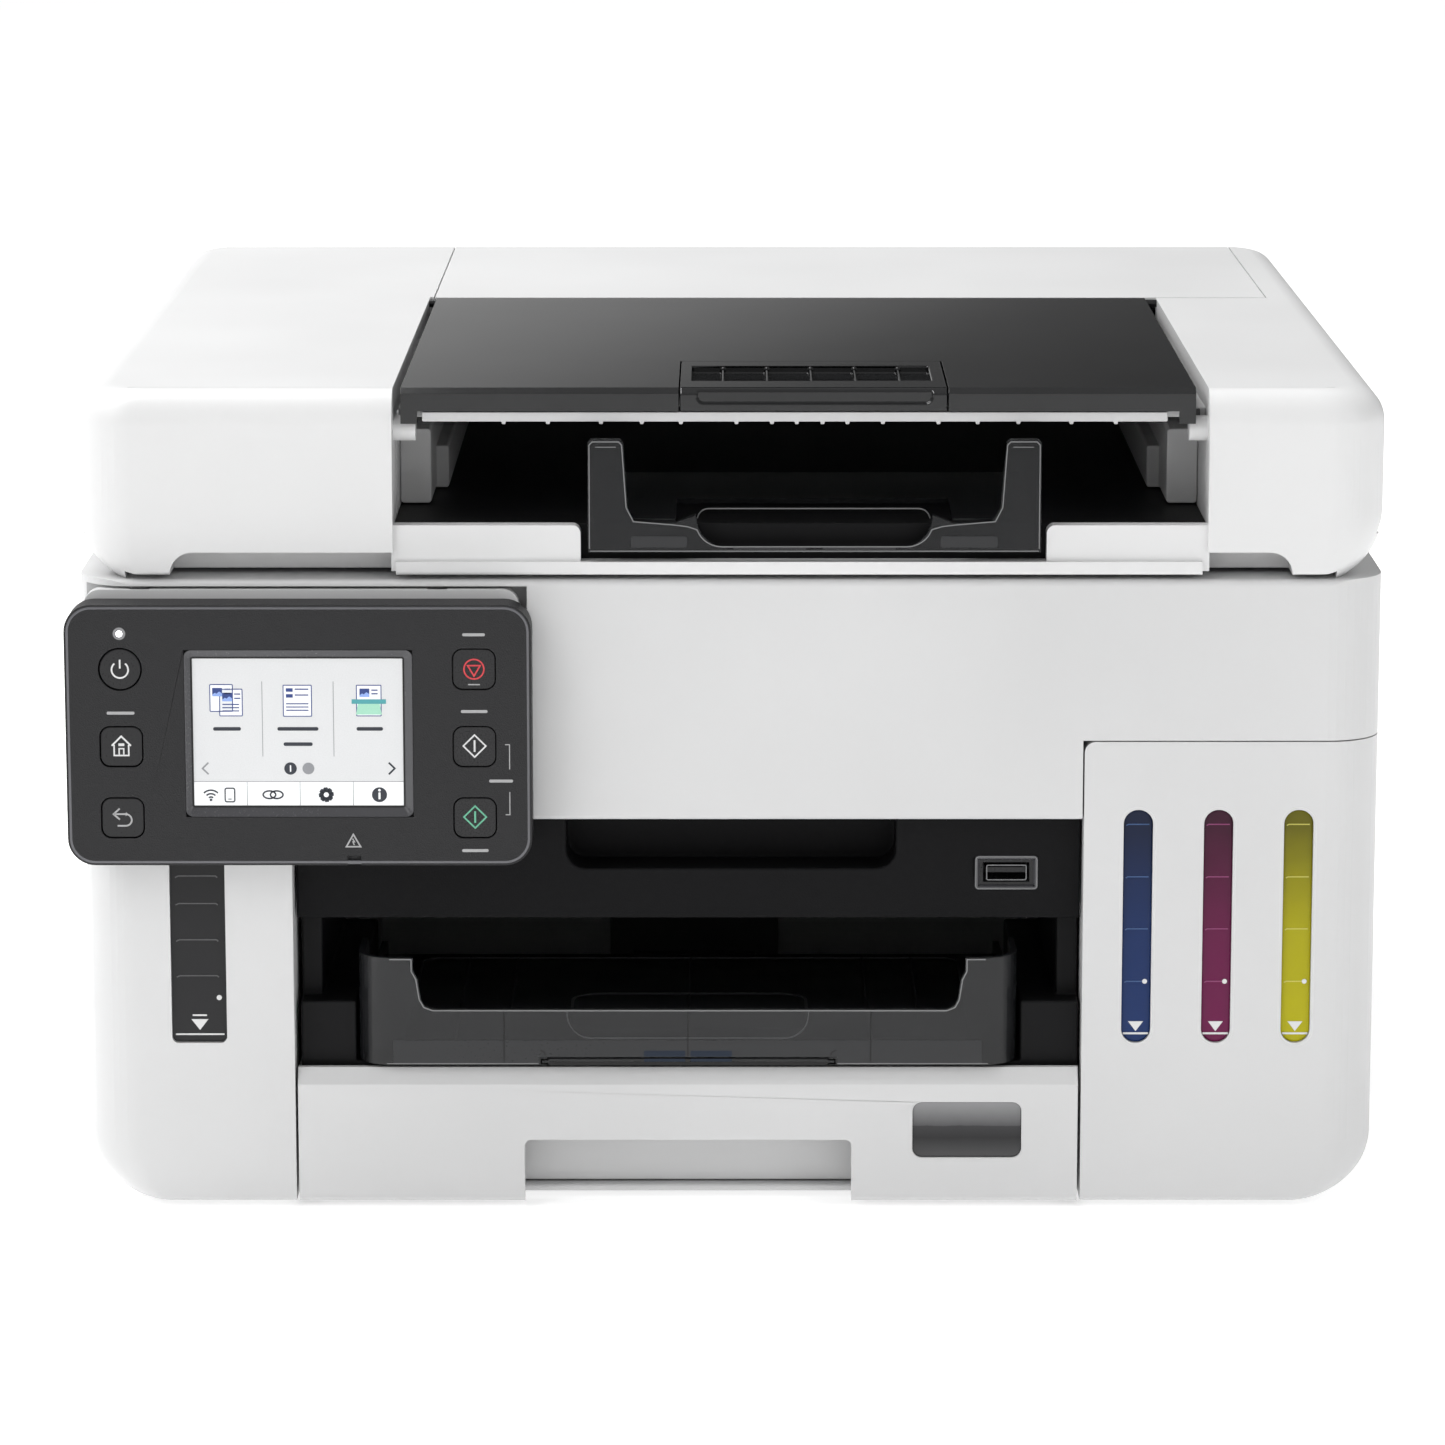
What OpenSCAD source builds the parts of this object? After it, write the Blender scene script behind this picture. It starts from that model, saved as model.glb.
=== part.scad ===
// Multifunction ink tank printer: printer base with cassette and output tray, scanner unit with a
// tilting operation panel, and a document feeder cover. Origin: bottom centre. Front is -Y, up is +Z.

/* [Case] */
// Left face of the case
case_l = -197; // [-200:0.5:-195]
// Right face of the case
case_r = 199.5; // [197:0.5:202]
// Front face of the case
front_y = -193; // [-195:0.5:-190]
// Rear face of the case
rear_y = 205; // [203:0.5:208]
// Underside of the case, above the feet
under_z = 2.2; // [2:0.1:3]
// Top of the printer base
base_top = 146.6; // [146:0.1:146.8]
// Radius of the upright corners
corner_r = 17; // [14:0.5:20]
// Radius of the lower side edges
sill_r = 19; // [14:0.5:20]
// Wall of the moulded shells
wall = 2.5; // [2:0.1:3]

/* [Scanner unit] */
// Underside of the scanner unit
scan_z = 147; // [146.9:0.1:147.4]
// Top of the scanner unit
scan_top = 196.5; // [195:0.1:196.8]
// Rear face of the scanner unit and the cover
lid_rear = 199; // [198:0.5:200]
// Lower edge of the front apron
apron_z = 122.4; // [120:0.1:125]
// Left edge of the front opening
bay_l = -131.3; // [-132:0.1:-131]
// Right edge of the front opening
bay_r = 108.3; // [108:0.1:108.4]

/* [Document cover] */
// Underside of the document cover
cover_z = 198; // [197.8:0.1:198.5]
// Top of the document cover
cover_top = 254; // [250:0.5:258]
// Inner face of the left block
well_l = -100.9; // [-102:0.1:-100]
// Inner face of the right block
well_r = 145.3; // [145:0.1:147]
// Rear edge of the smoked tray cover
tray_rear = 37.8; // [36:0.1:38]
// Right end of the feeder cover
feeder_r = 182.7; // [180:0.1:184]

/* [Operation panel] */
// Left edge of the panel
panel_l = -199.5; // [-201:0.5:-198]
// Right edge of the panel
panel_r = -58.9; // [-60:0.1:-55]
// Lower edge of the panel
panel_z = 110.9; // [108:0.1:112]
// Upper edge of the panel
panel_top = 191; // [188:0.1:192]
// Front face of the panel
panel_y = -205; // [-206:0.5:-203]
// Travel of a button
button_travel = 0.8; // [0.5:0.1:1]

/* [Paper] */
// Centre line of the print paper
paper_x = -12; // [-13:0.5:-11]
// Centre line of the documents
doc_x = 25; // [24:0.5:26]
// Width of a sheet
sheet_w = 210; // [200:1:212]

/* [Ink] */
// Lowest point of the ink windows
window_z = 52.4; // [50:0.1:55]
// Highest point of the ink windows
window_top = 125.5; // [120:0.1:127]
// Centre of the black ink window
black_x = -161.8; // [-163:0.1:-160]
// Centre of the first colour window
color_x0 = 125.4; // [124:0.1:127]
// Pitch of the colour windows
color_pitch = 24.45; // [24:0.05:24.8]

/* [Hidden] */

// Heights of the hinge pins behind the scanner unit, the document cover and the feeder cover
scan_pin_z = base_top + 0.2;
cover_pin_z = cover_z - 0.75;
feeder_pin_z = cover_top - 10.5;
// Air left between two pieces that move past each other
gap = 0.4;
// Radial clearance of a shaft in its bearing
run = 0.05;
fine = 48;

// Points of an arc about c
function arc(c, r, from, to, steps = 10) =
    [for (i = [0:steps]) let (a = from + (to - from) * i / steps) [c[0] + r * cos(a), c[1] + r * sin(a)]];

// Rectangle whose corners have their own radii: lower left, lower right, upper right, upper left
function soft(x0, y0, x1, y1, r) =
    let (q = is_list(r) ? r : [r, r, r, r])
    concat(q[0] > 0 ? arc([x0 + q[0], y0 + q[0]], q[0], 180, 270) : [[x0, y0]],
           q[1] > 0 ? arc([x1 - q[1], y0 + q[1]], q[1], 270, 360) : [[x1, y0]],
           q[2] > 0 ? arc([x1 - q[2], y1 - q[2]], q[2], 0, 90) : [[x1, y1]],
           q[3] > 0 ? arc([x0 + q[3], y1 - q[3]], q[3], 90, 180) : [[x0, y1]]);

// Box between two corners
module block(x0, y0, z0, x1, y1, z1) {
    translate([x0, y0, z0]) cube([x1 - x0, y1 - y0, z1 - z0]);
}

// Outline in Y and Z, drawn out along X
module along_x(x0, x1) {
    translate([x0, 0, 0]) rotate([90, 0, 90]) linear_extrude(x1 - x0) children();
}

// Outline in X and Z, drawn out along Y
module along_y(y0, y1) {
    translate([0, y1, 0]) rotate([90, 0, 0]) linear_extrude(y1 - y0) children();
}

// Outline in X and Y, drawn out along Z
module along_z(z0, z1) {
    translate([0, 0, z0]) linear_extrude(z1 - z0) children();
}

module rod_x(x0, x1, y, z, d) {
    translate([x0, y, z]) rotate([0, 90, 0]) cylinder(h = x1 - x0, d = d, $fn = fine);
}

module rod_y(y0, y1, x, z, d) {
    translate([x, y1, z]) rotate([90, 0, 0]) cylinder(h = y1 - y0, d = d, $fn = fine);
}

module rod_z(z0, z1, x, y, d) {
    translate([x, y, z0]) cylinder(h = z1 - z0, d = d, $fn = fine);
}

// Rear hinges: two barrels on an axis along X, each with outer knuckles, an inner knuckle and a pin
case_hinges = [-115, 90];
feeder_hinges = [-60, 140];
barrel_d = 6.4;
pin_d = 3;
barrel_half = 12;
tongue_half = 4;

module hinge_relief(z, at) {
    for (x = at) rod_x(x - barrel_half - gap, x + barrel_half + gap, lid_rear, z, barrel_d + 1);
}

// Outer knuckles and the pin through them, on the piece that stays
module fixed_knuckles(z, back, at) {
    for (x = at) {
        for (x0 = [x - barrel_half, x + tongue_half + gap]) {
            x1 = x0 + barrel_half - tongue_half - gap;
            rod_x(x0, x1, lid_rear, z, barrel_d);
            block(x0, lid_rear - barrel_d / 2, z - 8, x1, lid_rear + back, z);
        }
        rod_x(x - barrel_half, x + barrel_half, lid_rear, z, pin_d);
    }
}

// Inner knuckle on the piece that lifts, with a web forward and up
module lifted_knuckles(z, at) {
    for (x = at) difference() {
        union() {
            rod_x(x - tongue_half, x + tongue_half, lid_rear, z, barrel_d);
            block(x - tongue_half, lid_rear - 9, z + 0.5, x + tongue_half, lid_rear, z + 5);
        }
        rod_x(x - barrel_half, x + barrel_half, lid_rear, z, pin_d + 2 * run);
    }
}

// Case outline between two heights, drawn in by t on every side
module case_mass(x0, x1, z0, z1, t, rear = rear_y) {
    intersection() {
        along_z(z0, z1) polygon(soft(case_l + t, front_y + t, case_r - t, rear - t, corner_r - t));
        block(x0, front_y - 1, z0 - 1, x1, rear + 1, z1 + 1);
    }
}

// Lower case: the case outline with rounded sills
module lower_mass(x0, x1, z1, t) {
    intersection() {
        case_mass(x0, x1, under_z + t, z1, t);
        along_y(front_y - 1, rear_y + 1)
            polygon(soft(case_l + t, under_z + t, case_r - t, z1 + 40, [sill_r - t, sill_r - t, 0, 0]));
    }
}

// ---- Printer base ----

left_edge = bay_l - 1.4;
right_edge = bay_r + 0.5;
tank_y0 = front_y + wall + 0.3;
tank_y1 = -96;
tank_half = 10.5;
tank_z0 = 46;
tank_z1 = 132;
neck_y = -140;
neck_d = 12;
window_w = 9;
black_window_w = 16.9;
side_shelf = -92;
color_x = [for (i = [0:2]) color_x0 + i * color_pitch];

module window_cut(x, w, r) {
    along_y(front_y - 1, front_y + wall + 1) polygon(soft(x - w / 2, window_z, x + w / 2, window_top, r));
}

// Opening over a filler neck
module neck_cut(x) {
    rod_z(base_top - wall - 1, base_top + 1, x, neck_y, neck_d + 8);
}

module left_case() {
    color("whitesmoke") difference() {
        lower_mass(case_l, left_edge, base_top, 0);
        lower_mass(case_l, left_edge - wall, base_top - wall, wall);
        block(left_edge - wall - 1, side_shelf, under_z + wall, left_edge + 1, rear_y - wall, base_top - wall);
        window_cut(black_x, black_window_w, 2);
        neck_cut(black_x);
        block(inlet_x - 14.1, rear_y - wall - 1, inlet_z - 10.1, inlet_x + 14.1, rear_y + 1, inlet_z + 10.1);
    }
}

module right_case() {
    color("whitesmoke") difference() {
        intersection() {
            lower_mass(right_edge, case_r, base_top, 0);
            along_y(front_y - 1, rear_y + 1)
                polygon(soft(right_edge, 0, case_r + 1, base_top, [0, 0, 0, 3.5]));
        }
        lower_mass(right_edge + wall, case_r, base_top - wall, wall);
        block(right_edge - 1, side_shelf, under_z + wall, right_edge + wall + 1, rear_y - wall, base_top - wall);
        for (x = color_x) {
            window_cut(x, window_w, window_w / 2 - 0.2);
            neck_cut(x);
        }
    }
}

// Channel that holds the cassette, with a deck over its rear half
frame_l = left_edge + 0.2;
frame_r = right_edge - 0.2;
frame_y0 = -182;
deck_z = 64;
module base_frame() {
    color("dimgray") difference() {
        block(frame_l, frame_y0, under_z, frame_r, rear_y - wall - 0.2, deck_z + 2);
        block(frame_l + 2, frame_y0 - 1, under_z + 2.2, frame_r - 2, rear_y, deck_z);
        block(frame_l + 2, frame_y0 - 1, deck_z - 1, frame_r - 2, -30, deck_z + 3);
        block(frame_l + 12, 118, deck_z - 1, frame_r - 12, 190, deck_z + 3);
        block(frame_l - 1, frame_y0 - 1, slot_z, frame_r + 1, slot_y1 + 0.2, deck_z + 3);
        rod_x(frame_l - 1, frame_r + 1, pickup[0], pickup[1], 6 + 2 * run);
    }
}

// Middle of the back, with the opening of the jam cover and the hinges of the scanner unit
jam_x0 = -112;
jam_x1 = 88;
jam_z0 = 70;
jam_z1 = 132;
jam_pin_d = 1.6;
jam_pin_z = jam_z0 + 1.8;
jam_pin_y = rear_y - wall / 2;
module rear_case() {
    color("whitesmoke") {
        difference() {
            block(left_edge + 0.2, rear_y - wall, under_z + wall, right_edge - 0.2, rear_y, base_top);
            block(jam_x0, rear_y - wall - 1, jam_z0, jam_x1, rear_y + 1, jam_z1);
            rod_x(jam_x0 - 3.3, jam_x1 + 3.3, jam_pin_y, jam_pin_z, jam_pin_d + 2 * run);
        }
        fixed_knuckles(scan_pin_z, rear_y - wall - lid_rear + 0.5, case_hinges);
    }
}

// Cover over the paper turn, pivoted on two pins near its lower edge
module rear_cover() {
    color("gainsboro") {
        block(jam_x0 + gap, rear_y - wall, jam_z0 + 0.6, jam_x1 - gap, rear_y, jam_z1 - gap);
        rod_x(jam_x0 - 3, jam_x0 + 2, jam_pin_y, jam_pin_z, jam_pin_d);
        rod_x(jam_x1 - 2, jam_x1 + 3, jam_pin_y, jam_pin_z, jam_pin_d);
    }
}

// Black front above the output slot, with the pocket for lifting the scanner unit
bezel_y = -185;
bezel_z = 89.9;
module front_bezel() {
    pocket = [-49.3, 51.8];
    pocket_z = 105.6;
    usb = [76.4, 94.9, 99.3, 109.1];
    color("#1c1c1e") difference() {
        union() {
            block(bay_l - 0.8, bezel_y, bezel_z, bay_r, bezel_y + 3, apron_z - gap);
            block(bay_l - 0.8, bezel_y, apron_z - gap - 2, bay_r, -150, apron_z - gap);
            block(pocket[0] - 3, bezel_y, pocket_z - 2.5, pocket[1] + 3, bezel_y + 18, apron_z - gap);
        }
        along_y(bezel_y - 1, bezel_y + 15.5)
            polygon(soft(pocket[0], pocket_z, pocket[1], apron_z + 1, [6, 6, 0, 0]));
        block(usb[0], bezel_y - 1, usb[2], usb[1], bezel_y + 4, usb[3]);
    }
}

module usb_port() {
    color("silver") difference() {
        block(76.8, bezel_y + 0.8, 99.7, 94.5, bezel_y + 16, 108.7);
        block(78.6, bezel_y - 1, 101.2, 92.7, bezel_y + 13, 107.2);
    }
    color("#1c1c1e") block(79.4, bezel_y + 3, 103.6, 91.9, bezel_y + 13, 105.4);
}

// Floor and sides of the output slot, with a black guide block at each side of the tray
slot_y0 = -186;
slot_y1 = -74;
slot_z = 42.5;
tray_l = -113.4;
tray_r = 89.2;
module slot_surround() {
    color("#202022") {
        block(bay_l + 0.1, slot_y0, slot_z, bay_r - 0.2, slot_y1, 45);
        block(bay_l + 0.1, slot_y0, 45, tray_l - 0.7, slot_y1, 64);
        block(tray_r + 1.1, slot_y0, 45, bay_r - 0.2, slot_y1, 64);
        block(bay_l + 0.1, slot_y0 + 8, 64, bay_l + 6.5, slot_y1, bezel_z - 0.1);
        block(bay_r - 6.7, slot_y0 + 8, 64, bay_r - 0.2, slot_y1, bezel_z - 0.1);
    }
}

module feet() {
    color("#2b2b2d") {
        for (x = [-158, 160], y = [-166, 178]) rod_z(0, under_z, x, y, 16);
    }
}

// Blow moulded tank with a filler neck
module tank(x, half) {
    skin = 1.4;
    difference() {
        union() {
            block(x - half, tank_y0, tank_z0, x + half, tank_y1, tank_z1);
            rod_z(tank_z1 - 1, tank_z1 + 7, x, neck_y, neck_d);
        }
        block(x - half + skin, tank_y0 + skin, tank_z0 + skin, x + half - skin, tank_y1 - skin, tank_z1 - skin);
        rod_z(tank_z1 - 3, tank_z1 + 8, x, neck_y, neck_d - 4);
    }
}

module black_tank() { color("#303238") tank(black_x, tank_half + 3); }
module color_tanks() { color("#6a6470") for (x = color_x) tank(x, tank_half); }

// Ink in the four tanks
module inks() {
    level = 124;
    skin = 1.4;
    tanks = [[black_x, tank_half + 3, "#15161a"], [color_x[0], tank_half, "#1d2b66"],
             [color_x[1], tank_half, "#661c3f"], [color_x[2], tank_half, "#8f8426"]];
    for (t = tanks) color(t[2])
        block(t[0] - t[1] + skin, tank_y0 + skin, tank_z0 + skin, t[0] + t[1] - skin, tank_y1 - skin, level);
}

// Rubber plugs on the filler necks
module tank_caps() {
    color("#3a3a3e") for (x = concat([black_x], color_x)) {
        rod_z(tank_z1 + 7, tank_z1 + 10, x, neck_y, neck_d + 4);
        rod_z(tank_z1 + 1, tank_z1 + 7.5, x, neck_y, neck_d - 4);
    }
}

// Ink tubes from the tanks to the rear of the printer
tube_d = 3;
module ink_tubes() {
    color("#8f9299") for (i = [0:3]) {
        x = i == 0 ? black_x : color_x[i - 1];
        rod_y(tank_y1, tube_end[i], x, tank_z0 + 6, tube_d);
        rod_z(tank_z0 + 6, 84 + i, x, tube_end[i], tube_d);
    }
}
tube_end = [-82, -86, -84, -82];

// ---- Print mechanism ----

side_l = -172;
side_r = 178;
side_t = 2;
chassis_y0 = -72;
chassis_y1 = 150;
chassis_z = 67;
chassis_top = 142;
guide = [56, 120, 10];
feed = [38, 90, 14];
eject = [-44, 88, 12];
module print_chassis() {
    color("silver") difference() {
        union() {
            block(side_l, chassis_y0, chassis_z, side_r + side_t, -34, chassis_z + 1.6);
            block(side_l, 70, chassis_z, side_r + side_t, chassis_y1 - 40, chassis_z + 1.6);
            for (x = [side_l, side_r]) along_x(x, x + side_t)
                polygon(soft(chassis_y0, chassis_z, chassis_y1, chassis_top, [0, 0, 12, 24]));
        }
        for (s = [guide, feed, eject]) rod_x(side_l - 1, side_r + side_t + 1, s[0], s[1], s[2] + 2 * run);
    }
}

module guide_shaft() {
    color("lightsteelblue") rod_x(side_l - 3, side_r + side_t + 3, guide[0], guide[1], guide[2] + 2 * run);
}

// Ribbed bed under the print head
module platen() {
    z = 93;
    color("#2c2c2e") {
        block(-126, -32, z - 3, 172, 28, z - 1);
        for (x = [-120:12:168]) block(x, -30, z - 1.1, x + 1.5, 26, z);
        for (x = [-125, 170]) block(x, -30, chassis_z + 1.6, x + 2, 26, z - 2.9);
        block(-125, -36, chassis_z + 1.6, 172, -30, chassis_z + 4);
    }
}

// Feed and eject rollers: a steel shaft with rubber tyres
tyre_x = [-95, -40, 16, 71];
module roller(s, tyre, width) {
    rod_x(side_l - 4, side_r + side_t + 4, s[0], s[1], s[2] - 4);
    for (x = [side_l, side_r]) rod_x(x - 0.6, x + side_t + 0.6, s[0], s[1], s[2]);
    for (x = tyre_x) rod_x(x - width / 2, x + width / 2, s[0], s[1], tyre);
}
module feed_roller() { color("#5a5d62") roller(feed, feed[2] + 1, 22); }
module eject_roller() { color("#4a4d52") roller(eject, eject[2] + 1, 8); }

// Roller that takes a sheet off the cassette, on its own shaft under the deck
pickup = [96, 48, 24];
module pickup_roller() {
    color("#3c3c40") {
        rod_x(frame_l + 0.4, frame_r - 0.4, pickup[0], pickup[1], 6);
        for (x = [paper_x - 16, paper_x + 16]) rod_x(x - 8, x + 8, pickup[0], pickup[1], pickup[2]);
    }
}

// Toothed belt round the motor pulley and the idler
belt_y = 72;
belt_w = 5;
belt_z = guide[1];
belt_r = 7;
belt_l = -158;
belt_rt = 166;
module belt_outline(r) {
    polygon(concat(arc([belt_l, belt_z], r, 90, 270, 12), arc([belt_rt, belt_z], r, -90, 90, 12)));
}
module drive_belt() {
    color("#1e1e20") along_y(belt_y, belt_y + belt_w) difference() {
        belt_outline(belt_r + 1.2);
        belt_outline(belt_r);
    }
}

module belt_pulley() {
    color("silver") {
        rod_y(belt_y - 0.6, belt_y + belt_w + 0.4, belt_l, belt_z, 2 * belt_r - 2 * gap);
        rod_y(belt_y, belt_y + belt_w + 7, belt_l, belt_z, 4);
    }
}

module carriage_motor() {
    color("#b9bcc1") difference() {
        union() {
            rod_y(belt_y + belt_w + 1.5, belt_y + belt_w + 38, belt_l, belt_z, 22);
            block(belt_l - 11, belt_y + belt_w + 8, chassis_z + 1.6, belt_l + 11, belt_y + belt_w + 12, belt_z);
        }
        rod_y(belt_y, belt_y + belt_w + 9, belt_l, belt_z, 4.6);
    }
}

// Print head carriage, parked at the right of the paper
head_l = 84;
head_r = 164;
module print_carriage() {
    color("#26272b") difference() {
        union() {
            block(head_l, -22, 101, head_r, 40, 136);
            block(head_l + 6, 40, 108, head_r - 6, 66, 131);
            block(head_l + 24, -16, 95, head_r - 24, 22, 101);
        }
        rod_x(head_l, head_r, guide[0], guide[1], guide[2] + 4 * run);
        block(head_l + 4, -18, 112, head_r - 4, 36, 137);
    }
    color("#4d4f55") for (i = [0:3]) block(head_l + 8 + 16 * i, -14, 111.9, head_l + 20 + 16 * i, 30, 124);
}

module maintenance_cartridge() {
    color("#46484d") block(108, 100, chassis_z + 2, 168, 148, 94);
}

module power_supply() {
    color("#3b3c40") block(-184, -60, 9, frame_l - 2, 150, 60);
}

module main_board() {
    color("darkgreen") block(frame_r + 4, -50, 14, frame_r + 5.6, 150, 62);
    color("#202124") for (y = [-30, 20, 80]) block(frame_r + 5.6, y, 28, frame_r + 8.6, y + 28, 50);
}

inlet_x = -165;
inlet_z = 34;
module power_inlet() {
    color("#1b1b1d") difference() {
        union() {
            block(inlet_x - 14, rear_y - 18, inlet_z - 10, inlet_x + 14, rear_y - 0.6, inlet_z + 10);
            block(inlet_x - 16, rear_y - wall - 2, inlet_z - 12, inlet_x + 16, rear_y - wall, inlet_z + 12);
        }
        along_y(rear_y - 15, rear_y) polygon(soft(inlet_x - 9, inlet_z - 5.5, inlet_x + 9, inlet_z + 5.5, 5.4));
    }
    color("silver") for (x = [inlet_x - 4, inlet_x + 4]) rod_y(rear_y - 15.1, rear_y - 4, x, inlet_z, 2.4);
}

// ---- Cassette ----

cass_l = -131.9;
cass_r = 107.9;
cass_top = 44.2;
cass_y1 = 118;
bin_l = -126.6;
bin_r = 102.6;
bin_z = 5;
bin_top = 42.2;
cass_window = [57, 90.7, 15.9, 33.7];
module cassette() {
    grip = [-62.3, 38.3, 21.6];
    color("whitesmoke") difference() {
        union() {
            along_x(cass_l, cass_r)
                polygon([[front_y + 0.6, under_z], [front_y + 4.6, under_z], [front_y + 4.6, cass_top],
                         [front_y + 2.6, cass_top], [front_y, cass_top - 5], [front_y, under_z + 1.2]]);
            block(bin_l, front_y + 4, bin_z, bin_r, cass_y1, bin_top);
        }
        block(bin_l + 2, front_y + 17, bin_z + 2, bin_r - 2, cass_y1 - 2, bin_top + 1);
        along_y(front_y - 1, front_y + 5) polygon(soft(grip[0], 0, grip[1], grip[2], [0, 0, 2, 2]));
        block(grip[0] - 4, front_y + 4.4, bin_z - 1, grip[1] + 4, front_y + 15, grip[2] + 4);
        along_y(front_y - 1, front_y + 18)
            polygon(soft(cass_window[0], cass_window[2], cass_window[1], cass_window[3], 3));
        for (y = guide_y) block(paper_x - sheet_w / 2 + 4, y, bin_z + 1, paper_x + sheet_w / 2 - 4, y + 6.6, bin_z + 3);
        block(paper_x - 3.3, 20, bin_z + 1, paper_x + 3.3, cass_y1 - 6, bin_z + 3);
        block(paper_x - 29, cass_y1 - 3, 34, paper_x + 29, cass_y1 + 1, bin_top + 1);
    }
}
guide_y = [-60, -48];

module cassette_window() {
    color("#3f4247") along_y(front_y + 0.7, front_y + 2.7)
        polygon(soft(cass_window[0], cass_window[2], cass_window[1], cass_window[3], 3));
}

// Width guides: an upright fence, a foot, and a rack in the floor groove
fence_h = 26;
module paper_guide(side, y) {
    x = paper_x + side * (sheet_w / 2 + 0.4);
    fence = [x, x + side * 3];
    z = bin_z + 2.3;
    color("#55585e") {
        block(min(fence), -80, z, max(fence), -20, z + fence_h);
        block(min(x - side * 24, x + side * 3), -74, z, max(x - side * 24, x + side * 3), -26, z + 1.6);
        block(min(x - side * 84, x - side * 6), y + 0.3, bin_z + 1.3, max(x - side * 84, x - side * 6), y + 6.3, z + 1);
    }
}
module paper_guide_left() { paper_guide(-1, guide_y[0]); }
module paper_guide_right() { paper_guide(1, guide_y[1]); }

module paper_end_guide() {
    z = bin_z + 2.3;
    y = 112;
    color("#55585e") {
        block(paper_x - 30, y, z, paper_x + 30, y + 3, z + fence_h - 4);
        block(paper_x - 22, y - 26, z, paper_x + 22, y + 3, z + 1.6);
        block(paper_x - 3, y - 30, bin_z + 1.3, paper_x + 3, y - 2, z + 1);
    }
}

// ---- Print output tray ----

tray_z = 45.4;
tray_top = 79.2;
tray_y1 = -64;
tray_wall = 2;
// Channel under the tray floor in which the extension slides
ext_l = -54.9;
ext_r = 31;
ext_lip = [46, 47];
module extension_section(grow) {
    polygon([[ext_l - grow, tray_z - 2 * grow], [ext_r + grow, tray_z - 2 * grow],
             [ext_r + grow, ext_lip[0] - grow], [ext_r + 2 + grow, ext_lip[0] - grow],
             [ext_r + 2 + grow, ext_lip[1] + grow], [ext_r + grow, ext_lip[1] + grow],
             [ext_r + grow, tray_z + 2.1 + grow], [ext_l - grow, tray_z + 2.1 + grow],
             [ext_l - grow, ext_lip[1] + grow], [ext_l - 2 - grow, ext_lip[1] + grow],
             [ext_l - 2 - grow, ext_lip[0] - grow], [ext_l - grow, ext_lip[0] - grow]]);
}

module output_tray() {
    floor_z = tray_z + 4.4;
    color("#43464c", 0.8) difference() {
        along_z(tray_z, tray_top) polygon(soft(tray_l, front_y, tray_r, tray_y1, [11, 11, 0, 0]));
        along_z(floor_z, tray_top + 1)
            polygon(soft(tray_l + tray_wall, front_y + tray_wall, tray_r - tray_wall, tray_y1 + 1, [9, 9, 0, 0]));
        along_y(front_y - 1, front_y + 12)
            polygon([[tray_l + 17.2, tray_top + 1], [tray_l + 17.2, 75], [tray_l + 18.6, 72.6], [tray_l + 19.6, 66.2],
                     [tray_l + 20.8, 64], [tray_l + 23.2, 63.1], [67.4, 63.1], [69.6, 64], [70.7, 66.2], [71.7, 72.6],
                     [73, 75], [73, tray_top + 1]]);
        along_x(tray_l - 1, tray_r + 1)
            polygon([[tray_y1 + 1, 54], [-150, 60], [-166, tray_top + 1], [tray_y1 + 1, tray_top + 1]]);
        along_y(front_y - 1, tray_y1 + 1) extension_section(0.3);
    }
}

// Flat extension that draws out of the tray
module output_extension() {
    color("#3a3d43", 0.8) along_y(front_y, -78) extension_section(0);
}

// ---- Scanner unit ----

apron_y1 = front_y + 5;
pocket_y = front_y + 8;
panel_pin_y = front_y + 2;
panel_pin_z = 188;
shelf_z = scan_top - 3;
glass = [doc_x - 108, -170, doc_x + 108, 128];
slit = [doc_x - 110, 140, doc_x + 110, 152];
panel_arm_x = [-180, -90];
module scanner_case() {
    color("whitesmoke") {
        difference() {
            intersection() {
                union() {
                    case_mass(case_l, case_r, scan_z, scan_top, 0, lid_rear);
                    block(bay_l, front_y, apron_z, bay_r, apron_y1, scan_z + 1);
                }
                along_x(case_l - 1, case_r + 1)
                    polygon(soft(front_y, apron_z, lid_rear, scan_top, [1.5, 0, 2, 2]));
            }
            difference() {
                case_mass(case_l + wall, case_r - wall, scan_z + wall, shelf_z, wall, lid_rear);
                block(case_l - 1, front_y, scan_z, panel_r + 0.9, pocket_y + wall, scan_top);
            }
            block(panel_l - 1, front_y - 1, scan_z - 1, panel_r - 1.6, pocket_y, panel_top + 3.6);
            block(glass[0], glass[1], shelf_z - 1, glass[2], glass[3], scan_top + 1);
            block(slit[0], slit[1], shelf_z - 1, slit[2], slit[3], scan_top + 1);
            hinge_relief(scan_pin_z, case_hinges);
            hinge_relief(cover_pin_z, case_hinges);
        }
        lifted_knuckles(scan_pin_z, case_hinges);
        fixed_knuckles(cover_pin_z, -1, case_hinges);
        for (x = panel_arm_x) difference() {
            union() {
                rod_x(x, x + 5, panel_pin_y, panel_pin_z, 4.8);
                block(x, panel_pin_y, panel_pin_z - 2.2, x + 5, pocket_y + 0.5, panel_pin_z + 2.2);
            }
            rod_x(x - 1, x + 6, panel_pin_y, panel_pin_z, pin_d + 2 * run);
        }
    }
}

module scan_glass() {
    color("#9fb4b8", 0.6) {
        block(glass[0] - 3, glass[1] - 3, shelf_z - 3, glass[2] + 3, glass[3] + 3, shelf_z);
        block(slit[0] - 3, slit[1] - 3, shelf_z - 3, slit[2] + 3, slit[3] + 3, shelf_z);
    }
}

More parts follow.
